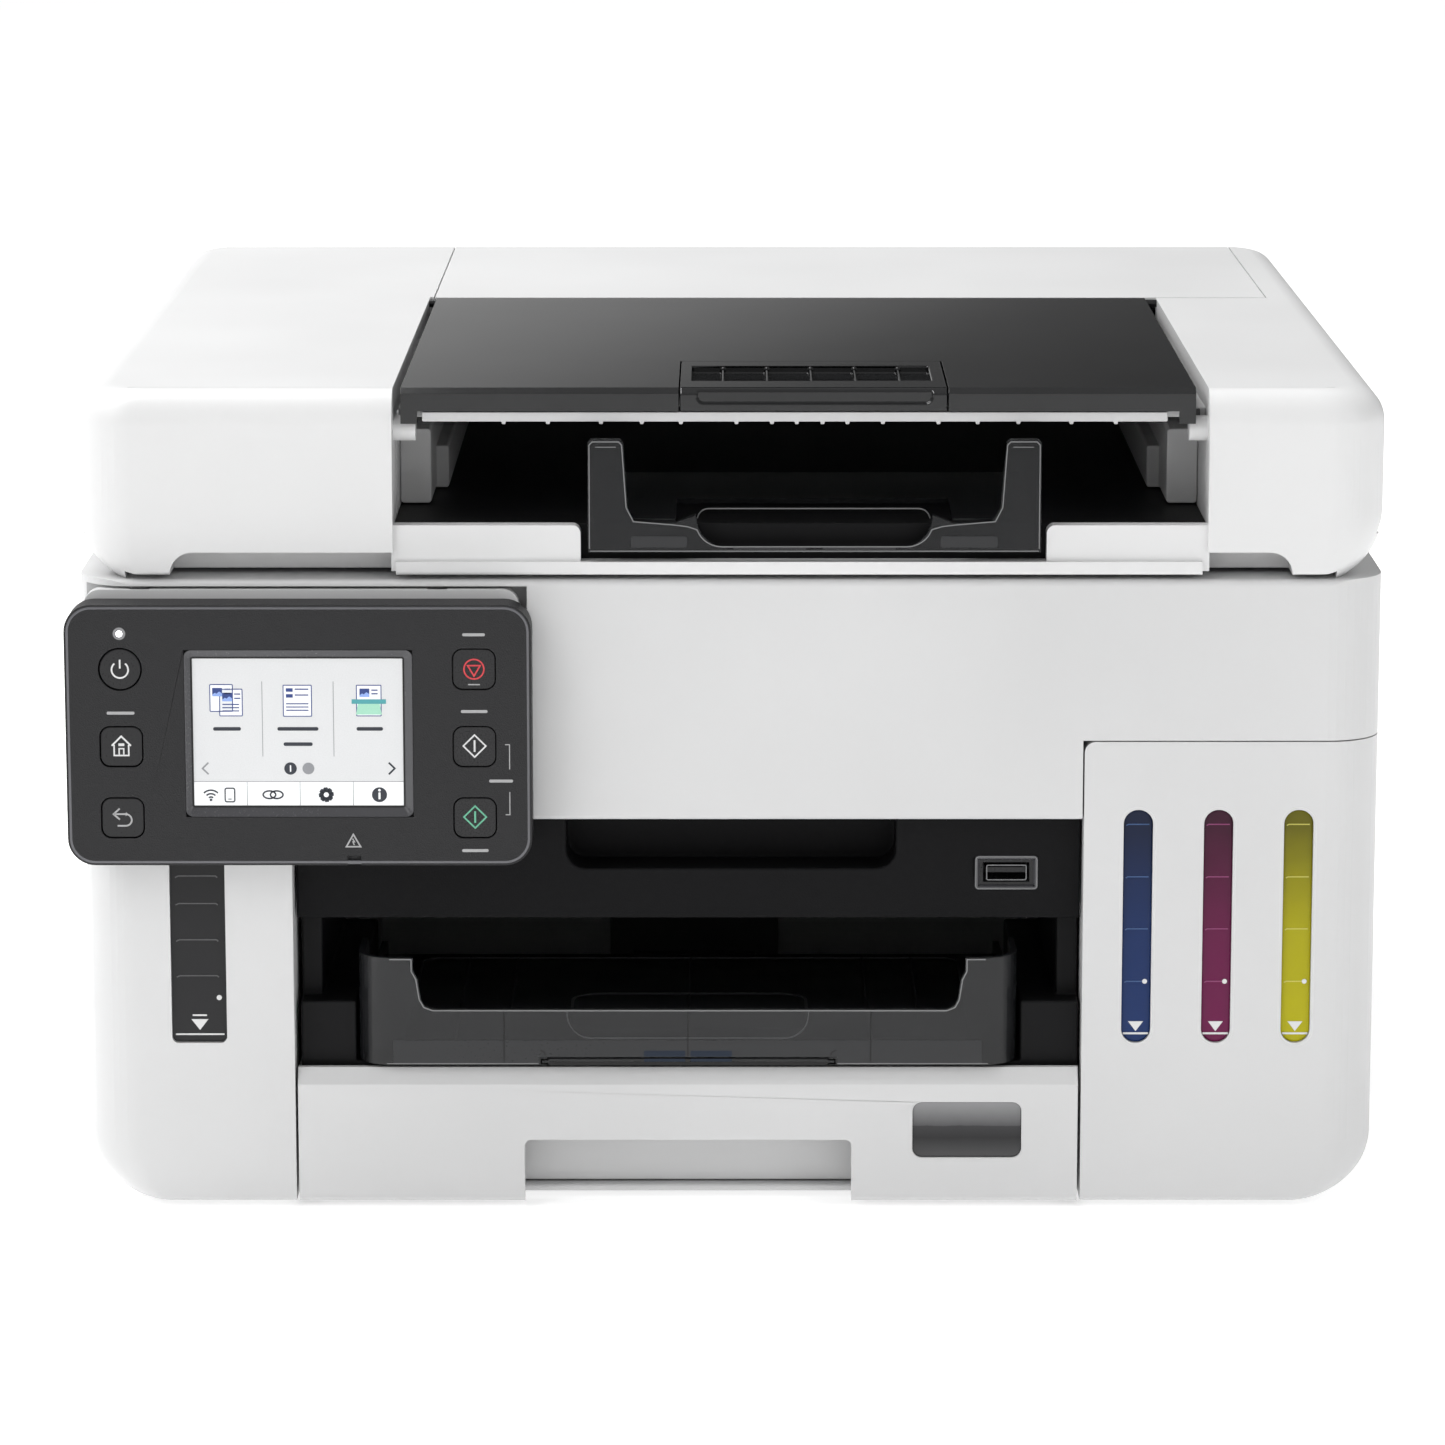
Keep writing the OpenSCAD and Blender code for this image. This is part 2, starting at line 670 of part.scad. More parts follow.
rail_x = -100;
rail_z = 160;
rail_d = 6;
module scan_rail() {
    color("silver") {
        rod_y(-176, 178, rail_x, rail_z, rail_d);
        for (y = [-176, 174]) block(rail_x - 5, y, scan_z + wall, rail_x + 5, y + 4, rail_z + 6);
    }
}

// Scanning bar, parked at the rear under the narrow glass
bar_y = [136, 160];
module scan_bar() {
    color("#232427") difference() {
        union() {
            block(doc_x - 116, bar_y[0], rail_z - 4, doc_x + 116, bar_y[1], shelf_z - 6);
            block(rail_x - 8, bar_y[0], rail_z - 6, doc_x - 110, bar_y[1], rail_z + 8);
        }
        rod_y(bar_y[0] - 1, bar_y[1] + 1, rail_x, rail_z, rail_d + 2 * run);
    }
    color("aliceblue") block(doc_x - 108, 145, shelf_z - 6, doc_x + 108, 150, shelf_z - 4.5);
}

// ---- Operation panel ----

panel_y1 = front_y - 0.8;
skin_y = panel_y + 3;
panel_deep = panel_y1 - 2;
screen = [-163.5, -94.7, 125.9, 177.2];
lcd_face = [-161.5, -97.4, 128.7, 174.7];
key_w = 13.2;
key_h = 12.7;
key_col = [-182.7, -76.15];
key_row = [171.3, 147.55, 125.6];

// Hole of a button in the panel skin, or the button with a smaller outline
module key_outline(x, z, less) {
    polygon(soft(x - key_w / 2 + less, z - key_h / 2 + less, x + key_w / 2 - less, z + key_h / 2 - less, 3.2 - less));
}

module key(x, z) {
    color("#2a2b2e") {
        along_y(panel_y + 0.4, skin_y + 1) key_outline(x, z, 0.3);
        block(x - key_w / 2 - 1, skin_y + 0.1, z - key_h / 2 - 1, x + key_w / 2 + 1, skin_y + 1, z + key_h / 2 + 1);
        rod_y(skin_y + 0.9, panel_deep - button_travel - 0.3, x, z, 4);
    }
}

power_z = key_row[0];
module power_button() {
    color("#2a2b2e") {
        rod_y(panel_y + 0.4, skin_y + 1, key_col[0], power_z, key_w - 0.6);
        rod_y(skin_y + 0.1, skin_y + 1, key_col[0], power_z, key_w + 2);
        rod_y(skin_y + 0.9, panel_deep - button_travel - 0.3, key_col[0], power_z, 4);
    }
}
module home_button() { key(key_col[0], key_row[1]); }
module back_button() { key(key_col[0], key_row[2]); }
module stop_button() { key(key_col[1], key_row[0]); }
module black_start_button() { key(key_col[1], key_row[1]); }
module color_start_button() { key(key_col[1], key_row[2]); }

module operation_panel() {
    color("#1d1e20") difference() {
        along_y(panel_y, panel_y1) polygon(soft(panel_l, panel_z, panel_r, panel_top, 8.3));
        along_y(skin_y, panel_deep)
            polygon(soft(panel_l + 2.4, panel_z + 2.4, panel_r - 2.4, panel_top - 2.4, 6));
        along_y(panel_y - 1, skin_y + 1) {
            for (i = [0:2]) key_outline(key_col[1], key_row[i], 0);
            for (i = [1:2]) key_outline(key_col[0], key_row[i], 0);
        }
        rod_y(panel_y - 1, skin_y + 1, key_col[0], power_z, key_w);
        block(screen[0], panel_y - 1, screen[2], screen[1], panel_y + 1.6, screen[3]);
        block(lcd_face[0], panel_y - 1, lcd_face[2], lcd_face[1], skin_y + 1, lcd_face[3]);
        block(-114.8, panel_y - 1, panel_z - 1, -110.8, panel_y + 1.2, panel_z + 3);
    }
}

// White rear housing of the panel, pivoted in the pocket of the scanner unit
module panel_housing() {
    x0 = panel_l + 5;
    x1 = panel_r - 4;
    color("whitesmoke") difference() {
        union() {
            along_y(panel_y1, panel_pin_y + 2) polygon(soft(x0, scan_z + 4, x1, panel_top + 2.8, 5));
            for (x = panel_arm_x) rod_x(x - 4, x + 9, panel_pin_y, panel_pin_z, pin_d);
        }
        for (x = panel_arm_x) difference() {
            block(x - 0.4, panel_y1 + 0.2, panel_pin_z - 5, x + 5.4, panel_pin_y + 3, panel_top + 3);
            rod_x(x - 4, x + 9, panel_pin_y, panel_pin_z, pin_d);
        }
    }
}

module lcd() {
    color("#dfe7ee") block(lcd_face[0] + 0.1, panel_y + 1.8, lcd_face[2] + 0.1, lcd_face[1] - 0.1, skin_y + 1.6, lcd_face[3] - 0.1);
}

// ---- Document cover ----

module cover_mass(t) {
    intersection() {
        case_mass(case_l, case_r, cover_z + t, cover_top - t, t, lid_rear);
        along_y(front_y - 1, lid_rear + 1)
            polygon(soft(case_l + t, cover_z + t, case_r - t, cover_top - t, [21 - t, 21 - t, 10.5 - t, 10.5 - t]));
        along_x(case_l - 1, case_r + 1)
            polygon(soft(front_y + t, cover_z + t, lid_rear - t, cover_top - t, [1.2, 0, 8 - t, 8.5 - t]));
    }
}

// Recess for a hand under each front corner, and the thicker wall round it
grips = [[-168.4, -100], [143.7, 171]];
grip_top = 204.9;
module grip_wall() {
    for (g = grips) block(g[0] - wall, front_y + 1, cover_z + 0.5, g[1] + wall, front_y + 16.5, grip_top + wall);
}
module grip_cut() {
    r = grip_top - cover_z;
    for (g = grips)
        along_y(front_y - 1, front_y + 14)
            polygon(g[0] < 0
                ? concat([[g[0], cover_z - 1], [g[1], cover_z - 1], [g[1], grip_top]], arc([g[0] + r, cover_z], r, 90, 180))
                : concat([[g[1], cover_z - 1]], arc([g[1] - r, cover_z], r, 0, 90), [[g[0], grip_top], [g[0], cover_z - 1]]));
}

floor_z = 212.8;
base_z = cover_z + wall;
feeder_l = -99.4;
lip_z = 213;
lip_y = [front_y + 1.5, front_y + 7];
stop_bay = [-44.2, 96.6];
boss_y = -180.4;
boss_z = 241.1;
deck_top = 246.7;
deck_t = 2.9;
adf_pickup = [56, 244.6, 12];
adf_feed = [110, 222, 26];
module cover_frame() {
    color("white") {
        difference() {
            cover_mass(0);
            difference() {
                cover_mass(wall);
                block(well_l - wall, front_y, cover_z, well_r + wall, lid_rear, cover_top);
                block(feeder_l, tray_rear - 2.2, cover_z, feeder_r + 0.3 + wall, lid_rear, cover_top);
                grip_wall();
            }
            block(well_l, lip_y[1], base_z, well_r, tray_rear - 2, cover_top + 1);
            block(well_l, front_y - 1, cover_z + 4, well_r, lip_y[1] + 1, cover_top + 1);
            block(well_l, tray_rear - 3, 235, well_r, tray_rear + 3, cover_top + 1);
            block(feeder_l - 0.3, tray_rear + 0.2, base_z, feeder_r + 0.3, lid_rear - wall, cover_top + 1);
            block(feeder_l - 0.3, tray_rear + 0.2, feeder_pin_z - 0.3, feeder_r + 0.3, lid_rear + 1, cover_top + 1);
            grip_cut();
            block(well_l - wall - 1, -172, 206, well_l + 1, -166, 238);
            block(152, tray_rear - 4, 206, 168, tray_rear + 3, 216);
            hinge_relief(cover_pin_z, case_hinges);
            hinge_relief(feeder_pin_z, feeder_hinges);
            for (s = [adf_pickup, adf_feed])
                rod_x(well_l - wall - 1, feeder_r + wall + 1, s[0], s[1], 6 + 2 * run);
            rod_x(well_l - wall - 1, well_l + 1, tray_pin_y, tray_pin_z, 2.6 + 2 * run);
            rod_x(well_r - 1, well_r + wall + 1, tray_pin_y, tray_pin_z, 2.6 + 2 * run);
        }
        for (x = [[well_l - 0.5, stop_bay[0]], [stop_bay[1], well_r + 0.5]])
            along_y(lip_y[0], lip_y[1]) polygon(soft(x[0], cover_z + 1, x[1], lip_z, [0, 0, x[0] < 0 ? 2.5 : 0, x[0] < 0 ? 0 : 2.5]));
        rod_x(well_l - 0.5, -94.2, boss_y, boss_z, 7.6);
        rod_x(139.8, well_r + 0.5, boss_y, boss_z, 7.6);
        for (x = [well_l - 0.5, well_r - 3.5])
            block(x, -160, deck_top - deck_t - 2.5, x + 4, -20, deck_top - deck_t);
        lifted_knuckles(cover_pin_z, case_hinges);
        fixed_knuckles(feeder_pin_z, -1, feeder_hinges);
    }
}

module pressing_pad() {
    color("white") block(doc_x - 122, -176, cover_z - 1.1, doc_x + 122, 132, cover_z);
}

module output_floor() {
    color("#17181a") {
        block(well_l + 0.1, lip_y[1] + 0.1, floor_z - 2.4, well_r - 0.1, tray_rear - 2.1, floor_z);
        for (y = [lip_y[1] + 0.1, tray_rear - 4.1]) block(well_l + 0.1, y, base_z, well_r - 0.1, y + 2, floor_z - 1);
    }
}

// Smoked bracket that catches the documents, on a plate that slides forward
stop_l = -42;
stop_r = 94.8;
stop_y = front_y + 0.5;
module output_stopper() {
    arm_top = 239.2;
    bar = [204.9, 213.9];
    scoop = [-9.4, 62.2, 206.2];
    color("#4a4c52", 0.75) {
        along_y(stop_y, stop_y + 3.4) polygon(concat(
            [[stop_l, bar[0]], [stop_r, bar[0]], [stop_r, arm_top - 1], [stop_r - 1, arm_top],
             [stop_r - 9.6, arm_top], [stop_r - 10.6, arm_top - 1], [stop_r - 12.4, bar[1] + 4],
             [stop_r - 15, bar[1]], [scoop[1] + 6, bar[1]]],
            arc([scoop[1] - 10, scoop[2] + 10], 10, 0, -90, 5),
            arc([scoop[0] + 10, scoop[2] + 10], 10, 270, 180, 5),
            [[scoop[0] - 6, bar[1]], [stop_l + 14, bar[1]], [stop_l + 12.1, bar[1] + 4],
             [stop_l + 10.8, arm_top - 1], [stop_l + 9.8, arm_top], [stop_l + 1, arm_top], [stop_l, arm_top - 1]]));
        for (x = [[stop_l + 2, scoop[0] - 6], [scoop[1] + 6, stop_r - 2]])
            block(x[0], stop_y + 3.3, floor_z + 0.3, x[1], -96, floor_z + 1.9);
        block(scoop[0] - 7, -150, floor_z + 0.3, scoop[1] + 7, -96, floor_z + 1.9);
    }
}

// Ribbed deck that the documents lie on, with grooves for the racks of the guides
rack_y = [-60, -48];
module input_deck() {
    z = deck_top - deck_t;
    color("white") difference() {
        union() {
            along_x(well_l + 1.3, well_r - 0.1)
                polygon([[-176, z], [-10, z], [30, 235], [66, 235], [66, 237.9], [30, 237.9], [-10, deck_top], [-176, deck_top]]);
            block(-92, front_y + 7, z, 133, -175, deck_top);
            for (s = [-1, 1], d = [3.9, 11.4, 22.1, 38.9, 50.7, 63, 79, 92.4])
                block(doc_x + s * d - 0.6, front_y + 7, z - 0.8, doc_x + s * d + 0.6, -20, z + 0.1);
        }
        for (y = rack_y) block(doc_x - 101, y, deck_top - 1.7, doc_x + 101, y + 6.6, deck_top + 1);
    }
}

module document_guide(side, y) {
    x = doc_x + side * (sheet_w / 2 + 0.4);
    z = deck_top + 0.3;
    color("#3a3b3f") {
        block(min(x, x + side * 4), -72, z, max(x, x + side * 4), -24, z + 3.6);
        block(min(x - side * 14, x + side * 4), -68, z, max(x - side * 14, x + side * 4), -28, z + 1);
        block(min(x - side * 74, x - side * 6), y + 0.3, deck_top - 1.4, max(x - side * 74, x - side * 6), y + 6.3, z + 0.1);
    }
}
module document_guide_left() { document_guide(-1, rack_y[0]); }
module document_guide_right() { document_guide(1, rack_y[1]); }

// Smoked cover of the document tray
sheet_z = 251.2;
tray_x = [-98.5, 141.5];
tray_pin_y = 34;
tray_pin_z = 252.6;
draw_x = [-14.2, 66.5];
draw_y1 = -125;
lip_face = -186.6;
lip_low = 247;
module tray_cover() {
    color("#6d7076", 0.7) {
        difference() {
            along_x(tray_x[0], tray_x[1])
                polygon([[lip_face, lip_low], [lip_face + 2, lip_low], [lip_face + 2, sheet_z], [tray_rear, sheet_z],
                         [tray_rear, cover_top], [lip_face + 2.2, cover_top], [lip_face, cover_top - 1.6]]);
            block(draw_x[0] - gap, lip_face - 1, lip_low - 1, draw_x[1] + gap, draw_y1 + gap, cover_top + 1);
        }
        for (x = [tray_x[0], tray_x[1] - 5]) block(x, lip_face, 243.2, x + 5, lip_face + 2, lip_low + 0.5);
        for (x = [[draw_x[0] - 3, draw_x[0] - gap], [draw_x[1] + gap, draw_x[1] + 3]])
            block(x[0], -180, 247.4, x[1], -76, sheet_z + 0.5);
        for (x = [[draw_x[0] - 3, draw_x[0] + 3], [draw_x[1] - 3, draw_x[1] + 3]])
            block(x[0], -180, 247.4, x[1], -76, 248.3);
        rod_x(well_l - 2, tray_x[0] + 1, tray_pin_y, tray_pin_z, 2.6);
        rod_x(tray_x[1] - 1, well_r + 2, tray_pin_y, tray_pin_z, 2.6);
    }
}

// Part of the tray cover that draws out, with a ribbed finger recess
module tray_extension() {
    well = [-10.7, 62.2, -169, -135.8];
    rib_pitch = 13.5;
    color("#6d7076", 0.7) {
        difference() {
            union() {
                along_x(draw_x[0], draw_x[1])
                    polygon([[lip_face, lip_low], [lip_face + 2, lip_low], [lip_face + 2, 248.6], [draw_y1, 248.6],
                             [draw_y1, cover_top], [lip_face + 2.2, cover_top], [lip_face, cover_top - 1.6]]);
                block(draw_x[0], draw_y1 - 1, 248.6, draw_x[1], -80, 250.9);
            }
            block(well[0], well[2], cover_top - 2.4, well[1], well[3], cover_top + 1);
            along_y(lip_face - 1, lip_face + 1) polygon(soft(-9, lip_low + 2.4, 62, cover_top + 1, [2, 2, 0, 0]));
        }
        for (i = [0:4])
            block(well[0] + 9 + i * rib_pitch, well[2], cover_top - 2.5, well[0] + 10 + i * rib_pitch, well[3], cover_top - 0.6);
    }
}

module feeder_cover() {
    r = 8;
    y0 = tray_rear + 1.2;
    top = cover_top;
    color("white") {
        difference() {
            along_x(feeder_l + 0.2, feeder_r - 0.2)
                polygon(concat([[lid_rear - wall, feeder_pin_z + 0.3], [lid_rear, feeder_pin_z + 0.3]],
                               arc([lid_rear - r, top - r], r, 0, 90), [[y0, top], [y0, top - wall]],
                               arc([lid_rear - r, top - r], r - wall, 90, 0)));
            hinge_relief(feeder_pin_z, feeder_hinges);
        }
        lifted_knuckles(feeder_pin_z, feeder_hinges);
    }
}

// Document rollers: a shaft with two tyres
module document_roller(s, half) {
    rod_x(well_l - 1.5, feeder_r + 1.5, s[0], s[1], 6);
    for (x = [doc_x - half, doc_x + half]) rod_x(x - 10, x + 10, s[0], s[1], s[2]);
}
module adf_pickup_roller() { color("#8a8d93") document_roller(adf_pickup, 14); }
module adf_feed_roller() { color("#5a5d62") document_roller(adf_feed, 40); }

base_frame();
left_case();
right_case();
rear_case();
front_bezel();
slot_surround();
usb_port();
feet();
black_tank();
color_tanks();
tank_caps();
inks();
ink_tubes();
print_chassis();
platen();
guide_shaft();
drive_belt();
carriage_motor();
maintenance_cartridge();
power_supply();
main_board();
power_inlet();
print_carriage();
belt_pulley();
feed_roller();
eject_roller();
pickup_roller();
rear_cover();
cassette();
cassette_window();
paper_guide_left();
paper_guide_right();
paper_end_guide();
output_tray();
output_extension();
scanner_case();
scan_glass();
scan_rail();
scan_bar();
operation_panel();
panel_housing();
lcd();
power_button();
home_button();
back_button();
stop_button();
black_start_button();
color_start_button();
cover_frame();
pressing_pad();
output_floor();
output_stopper();
input_deck();
document_guide_left();
document_guide_right();
tray_cover();
tray_extension();
feeder_cover();
adf_pickup_roller();
adf_feed_roller();
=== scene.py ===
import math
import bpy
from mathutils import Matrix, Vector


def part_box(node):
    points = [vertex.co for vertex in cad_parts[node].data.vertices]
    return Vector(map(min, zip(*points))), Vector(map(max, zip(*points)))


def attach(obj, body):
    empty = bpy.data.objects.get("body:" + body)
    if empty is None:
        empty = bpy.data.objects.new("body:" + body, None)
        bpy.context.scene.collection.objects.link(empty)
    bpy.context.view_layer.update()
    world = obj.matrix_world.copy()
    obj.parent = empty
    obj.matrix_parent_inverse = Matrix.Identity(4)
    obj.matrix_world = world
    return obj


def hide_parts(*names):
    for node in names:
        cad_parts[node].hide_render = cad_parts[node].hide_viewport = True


bl_info = {
    "name": "Ink tank printer",
    "version": (1, 0, 0),
    "blender": (4, 5, 0),
    "location": "View3D > Sidebar > Printer",
    "description": "Shells, trays, operation panel and finishes of a multifunction ink tank printer",
    "category": "Object",
}

import bmesh
import bpy
from mathutils import Vector

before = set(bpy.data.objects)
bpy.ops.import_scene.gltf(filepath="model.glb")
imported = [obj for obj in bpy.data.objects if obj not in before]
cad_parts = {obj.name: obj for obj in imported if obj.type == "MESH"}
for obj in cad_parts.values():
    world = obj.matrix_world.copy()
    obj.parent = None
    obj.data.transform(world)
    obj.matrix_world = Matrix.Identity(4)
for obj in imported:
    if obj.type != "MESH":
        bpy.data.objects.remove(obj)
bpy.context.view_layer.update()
MM = 0.001


def box_mm(node):
    """Lowest and highest corners of a CAD node, in millimetres."""
    low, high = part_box(node)
    return [c / MM for c in low], [c / MM for c in high]


# Sizes that the pieces share, in millimetres. All but the corner's radius come from the CAD nodes
FRAME_LOW, FRAME_HIGH = box_mm("cover_frame")
LEFT_LOW, LEFT_HIGH = box_mm("left_case")
PANEL_LOW, PANEL_HIGH = box_mm("operation_panel")
FRONT = LEFT_LOW[1]
REAR = LEFT_HIGH[1]
LID_REAR = box_mm("scanner_case")[1][1]
LEFT = LEFT_LOW[0]
RIGHT = box_mm("right_case")[1][0]
UNDER = LEFT_LOW[2]
BASE_TOP = LEFT_HIGH[2]
CORNER_R = 17.0


# ---- Settings that a user would change ----

class PrinterSizes(bpy.types.PropertyGroup):
    """Small radii of the mouldings, and the steps of their rounding."""

    edge: bpy.props.FloatProperty(name="Edge", description="Radius of a moulded edge, in mm",
                                  default=0.7, min=0.2, max=1.5)
    steps: bpy.props.IntProperty(name="Steps", description="Segments in a quarter turn", default=12, min=4,
                                 max=24)


class PrinterColors(bpy.types.PropertyGroup):
    """Colours of the finishes."""

    # The cover colour is lighter than the case colour, though both are one white plastic: painted light
    # falling from above on the higher cover.
    case: bpy.props.FloatVectorProperty(name="Case", description="White case plastic", subtype="COLOR",
                                        size=3, default=(0.565, 0.566, 0.568))
    cover: bpy.props.FloatVectorProperty(name="Cover", description="White cover plastic", subtype="COLOR",
                                         size=3, default=(0.645, 0.646, 0.647))
    black: bpy.props.FloatVectorProperty(name="Black", description="Grained black plastic", subtype="COLOR",
                                         size=3, default=(0.016, 0.016, 0.0175))
    smoke: bpy.props.FloatVectorProperty(name="Smoke", description="Smoked see-through plastic",
                                         subtype="COLOR",
                                         size=3, default=(0.022, 0.023, 0.025))
    cyan_ink: bpy.props.FloatVectorProperty(name="Cyan ink", description="Ink behind the first window",
                                            subtype="COLOR", size=3, default=(0.003, 0.018, 0.085))
    magenta_ink: bpy.props.FloatVectorProperty(name="Magenta ink", description="Ink behind the second window",
                                               subtype="COLOR", size=3, default=(0.10, 0.002, 0.042))
    yellow_ink: bpy.props.FloatVectorProperty(name="Yellow ink", description="Ink behind the third window",
                                              subtype="COLOR", size=3, default=(0.33, 0.30, 0.0))


def sizes():
    return bpy.context.scene.printer_sizes


def colors():
    return bpy.context.scene.printer_colors


# ---- Shader building ----

class Sock:
    """A shader socket. Arithmetic on it adds Math nodes."""

    def __init__(self, finish, socket):
        self.finish = finish
        self.socket = socket

    def math(self, operation, *values):
        return self.finish.node("ShaderNodeMath", {"operation": operation}, *values)

    def __add__(self, other):
        return self.math("ADD", self, other)

    def __radd__(self, other):
        return self.math("ADD", other, self)

    def __sub__(self, other):
        return self.math("SUBTRACT", self, other)

    def __rsub__(self, other):
        return self.math("SUBTRACT", other, self)

    def __mul__(self, other):
        return self.math("MULTIPLY", self, other)

    def __rmul__(self, other):
        return self.math("MULTIPLY", other, self)


class Finish:
    """A material with a Principled shader, and one method that adds any other node."""

    def __init__(self, name, **uniform):
        self.material = bpy.data.materials.new(name)
        self.material.use_nodes = True
        self.tree = self.material.node_tree
        self.shader = self.tree.nodes["Principled BSDF"]
        for key, value in uniform.items():
            self.set(key, value)

    def set(self, key, value):
        name = key.replace("_", " ").title().replace("Ior", "IOR")
        target = self.shader.inputs[name]
        if isinstance(value, Sock):
            self.tree.links.new(value.socket, target)
        else:
            target.default_value = (*value, 1.0) if hasattr(value, "__len__") and len(value) == 3 else value

    def node(self, kind, settings, *values, output=0, **named):
        made = self.tree.nodes.new(kind)
        for key, value in settings.items():
            if key == "stops":
                ramp = made.color_ramp.elements
                while len(ramp) < len(value):
                    ramp.new(0.5)
                for stop, (place, color) in zip(ramp, value):
                    stop.position = place
                    stop.color = (*color, 1.0)
            else:
                setattr(made, key, value)
        for key, value in [*enumerate(values), *named.items()]:
            target = made.inputs[key if isinstance(key, int) else key.replace("_", " ")]
            if isinstance(value, Sock):
                self.tree.links.new(value.socket, target)
            elif value is not None:
                target.default_value = value
        return Sock(self, made.outputs[output])

    def place(self):
        return self.node("ShaderNodeTexCoord", {}, output="Object")

    def noise(self, scale, detail=3.0, rough=0.55):
        return self.node("ShaderNodeTexNoise", {}, Vector=self.place(), Scale=scale, Detail=detail,
                         Roughness=rough)

    def ramp(self, factor, stops):
        return self.node("ShaderNodeValToRGB", {"stops": stops}, Fac=factor)

    def bump(self, height, distance, strength=1.0):
        self.set("normal",
                 self.node("ShaderNodeBump", {}, Height=height, Distance=distance, Strength=strength))


def shade(color, factor):
    return tuple(min(1.0, c * factor) for c in color)


def moulded(name, color, rough, grain, depth, shine=0.5):
    """Moulded plastic with a fine grain and a slight unevenness of colour and gloss."""
    finish = Finish(name, specular_ior_level=shine)
    mottle = 0.03
    cloud = finish.noise(9.0, 2.0)
    finish.set("base_color",
               finish.ramp(cloud, [(0.3, shade(color, 1 - mottle)), (0.7, shade(color, 1 + mottle))]))
    fine = finish.noise(grain, 4.0, 0.6)
    finish.set("roughness", rough + 0.12 * (fine - 0.5) + 0.05 * (cloud - 0.5))
    finish.bump(fine, depth)
    return finish.material


def leathery(name, color, rough, cell, depth, shine=0.3):
    """Black plastic with the pebbled grain of an instrument panel."""
    finish = Finish(name, specular_ior_level=shine)
    pebble = finish.node("ShaderNodeTexVoronoi", {"feature": "SMOOTH_F1"}, Vector=finish.place(), Scale=cell,
                         Smoothness=0.6)
    fine = finish.noise(cell * 2.2, 3.0)
    finish.set("base_color", finish.ramp(fine, [(0.3, shade(color, 0.85)), (0.75, shade(color, 1.35))]))
    finish.set("roughness", rough + 0.15 * (fine - 0.5))
    finish.bump(pebble + 0.5 * fine, depth)
    return finish.material


def smoked(name, color, alpha, rough=0.12, shine=0.5):
    """Smoked see-through plastic, a little cloudy and finely scuffed."""
    finish = Finish(name, specular_ior_level=shine)
    cloud = finish.noise(30.0, 3.0)
    scuff = finish.noise(900.0, 3.0)
    finish.set("base_color", finish.ramp(cloud, [(0.3, shade(color, 0.85)), (0.7, shade(color, 1.2))]))
    finish.set("roughness", rough + 0.08 * scuff)
    finish.set("alpha", alpha + 0.06 * (cloud - 0.5))
    finish.bump(scuff, 0.00001, 0.4)
    return finish.material


def metal(name, color, rough, grain=(40.0, 900.0, 900.0)):
    """Brushed or ground metal with fine lines along X."""
    finish = Finish(name, metallic=1.0)
    lines = finish.node("ShaderNodeTexNoise", {}, Detail=3.0, Scale=1.0,
                        Vector=finish.node("ShaderNodeMapping", {}, Vector=finish.place(), Scale=grain))
    finish.set("base_color", finish.ramp(lines, [(0.3, shade(color, 0.9)), (0.7, shade(color, 1.05))]))
    finish.set("roughness", rough + 0.15 * (lines - 0.5))
    finish.bump(lines, 0.00002, 0.5)
    return finish.material


def lit(name, color, glow, rough=0.3):
    """Something that shines a little, such as a screen or a lamp."""
    finish = Finish(name, emission_strength=glow, roughness=rough)
    grid = finish.noise(2500.0, 1.0)
    tint = finish.ramp(grid, [(0.3, shade(color, 0.97)), (0.7, shade(color, 1.02))])
    finish.set("base_color", tint)
    finish.set("emission_color", tint)
    return finish.material


def painted_light_pane(name, low, high):
    """Smoked window with painted light above and painted shade below, and a lighter line at the paper level
    between.
    """
    finish = Finish(name, specular_ior_level=0.3)
    height = finish.node("ShaderNodeSeparateXYZ", {}, finish.place(), output="Z")
    level = (height - low * MM) * (1.0 / (MM * (high - low))) + 0.03 * (finish.noise(200.0) - 0.5)
    finish.set("base_color", finish.ramp(level, [(0.0, (0.06, 0.06, 0.062)), (0.35, (0.012, 0.012, 0.013)),
                                                 (0.555, (0.03, 0.03, 0.032)), (0.575, (0.075, 0.075, 0.078)),
                                                 (1.0, (0.26, 0.26, 0.265))]))
    finish.set("roughness", 0.2 + 0.08 * finish.noise(900.0))
    return finish.material


def ink_painted_shade(name, color):
    """Ink seen through a clear tank wall: painted shade darkening it towards the top, painted light at the
    bottom, with soft clouds.
    """
    finish = Finish(name, coat_weight=0.12, coat_roughness=0.1, specular_ior_level=0.15)
    height = finish.node("ShaderNodeSeparateXYZ", {}, finish.place(), output="Z")
    cloud = finish.noise(60.0, 2.0)
    level = height * 12.0 - 0.5 + 0.15 * (cloud - 0.5)
    # Painted shade at the top of each window, painted light at its bottom.
    dark = shade(color, 0.32)
    finish.set("base_color", finish.ramp(level, [(0.05, shade(color, 1.25)), (0.55, color), (0.95, dark)]))
    finish.set("roughness", 0.18 + 0.1 * cloud)
    return finish.material


MATERIALS = {}


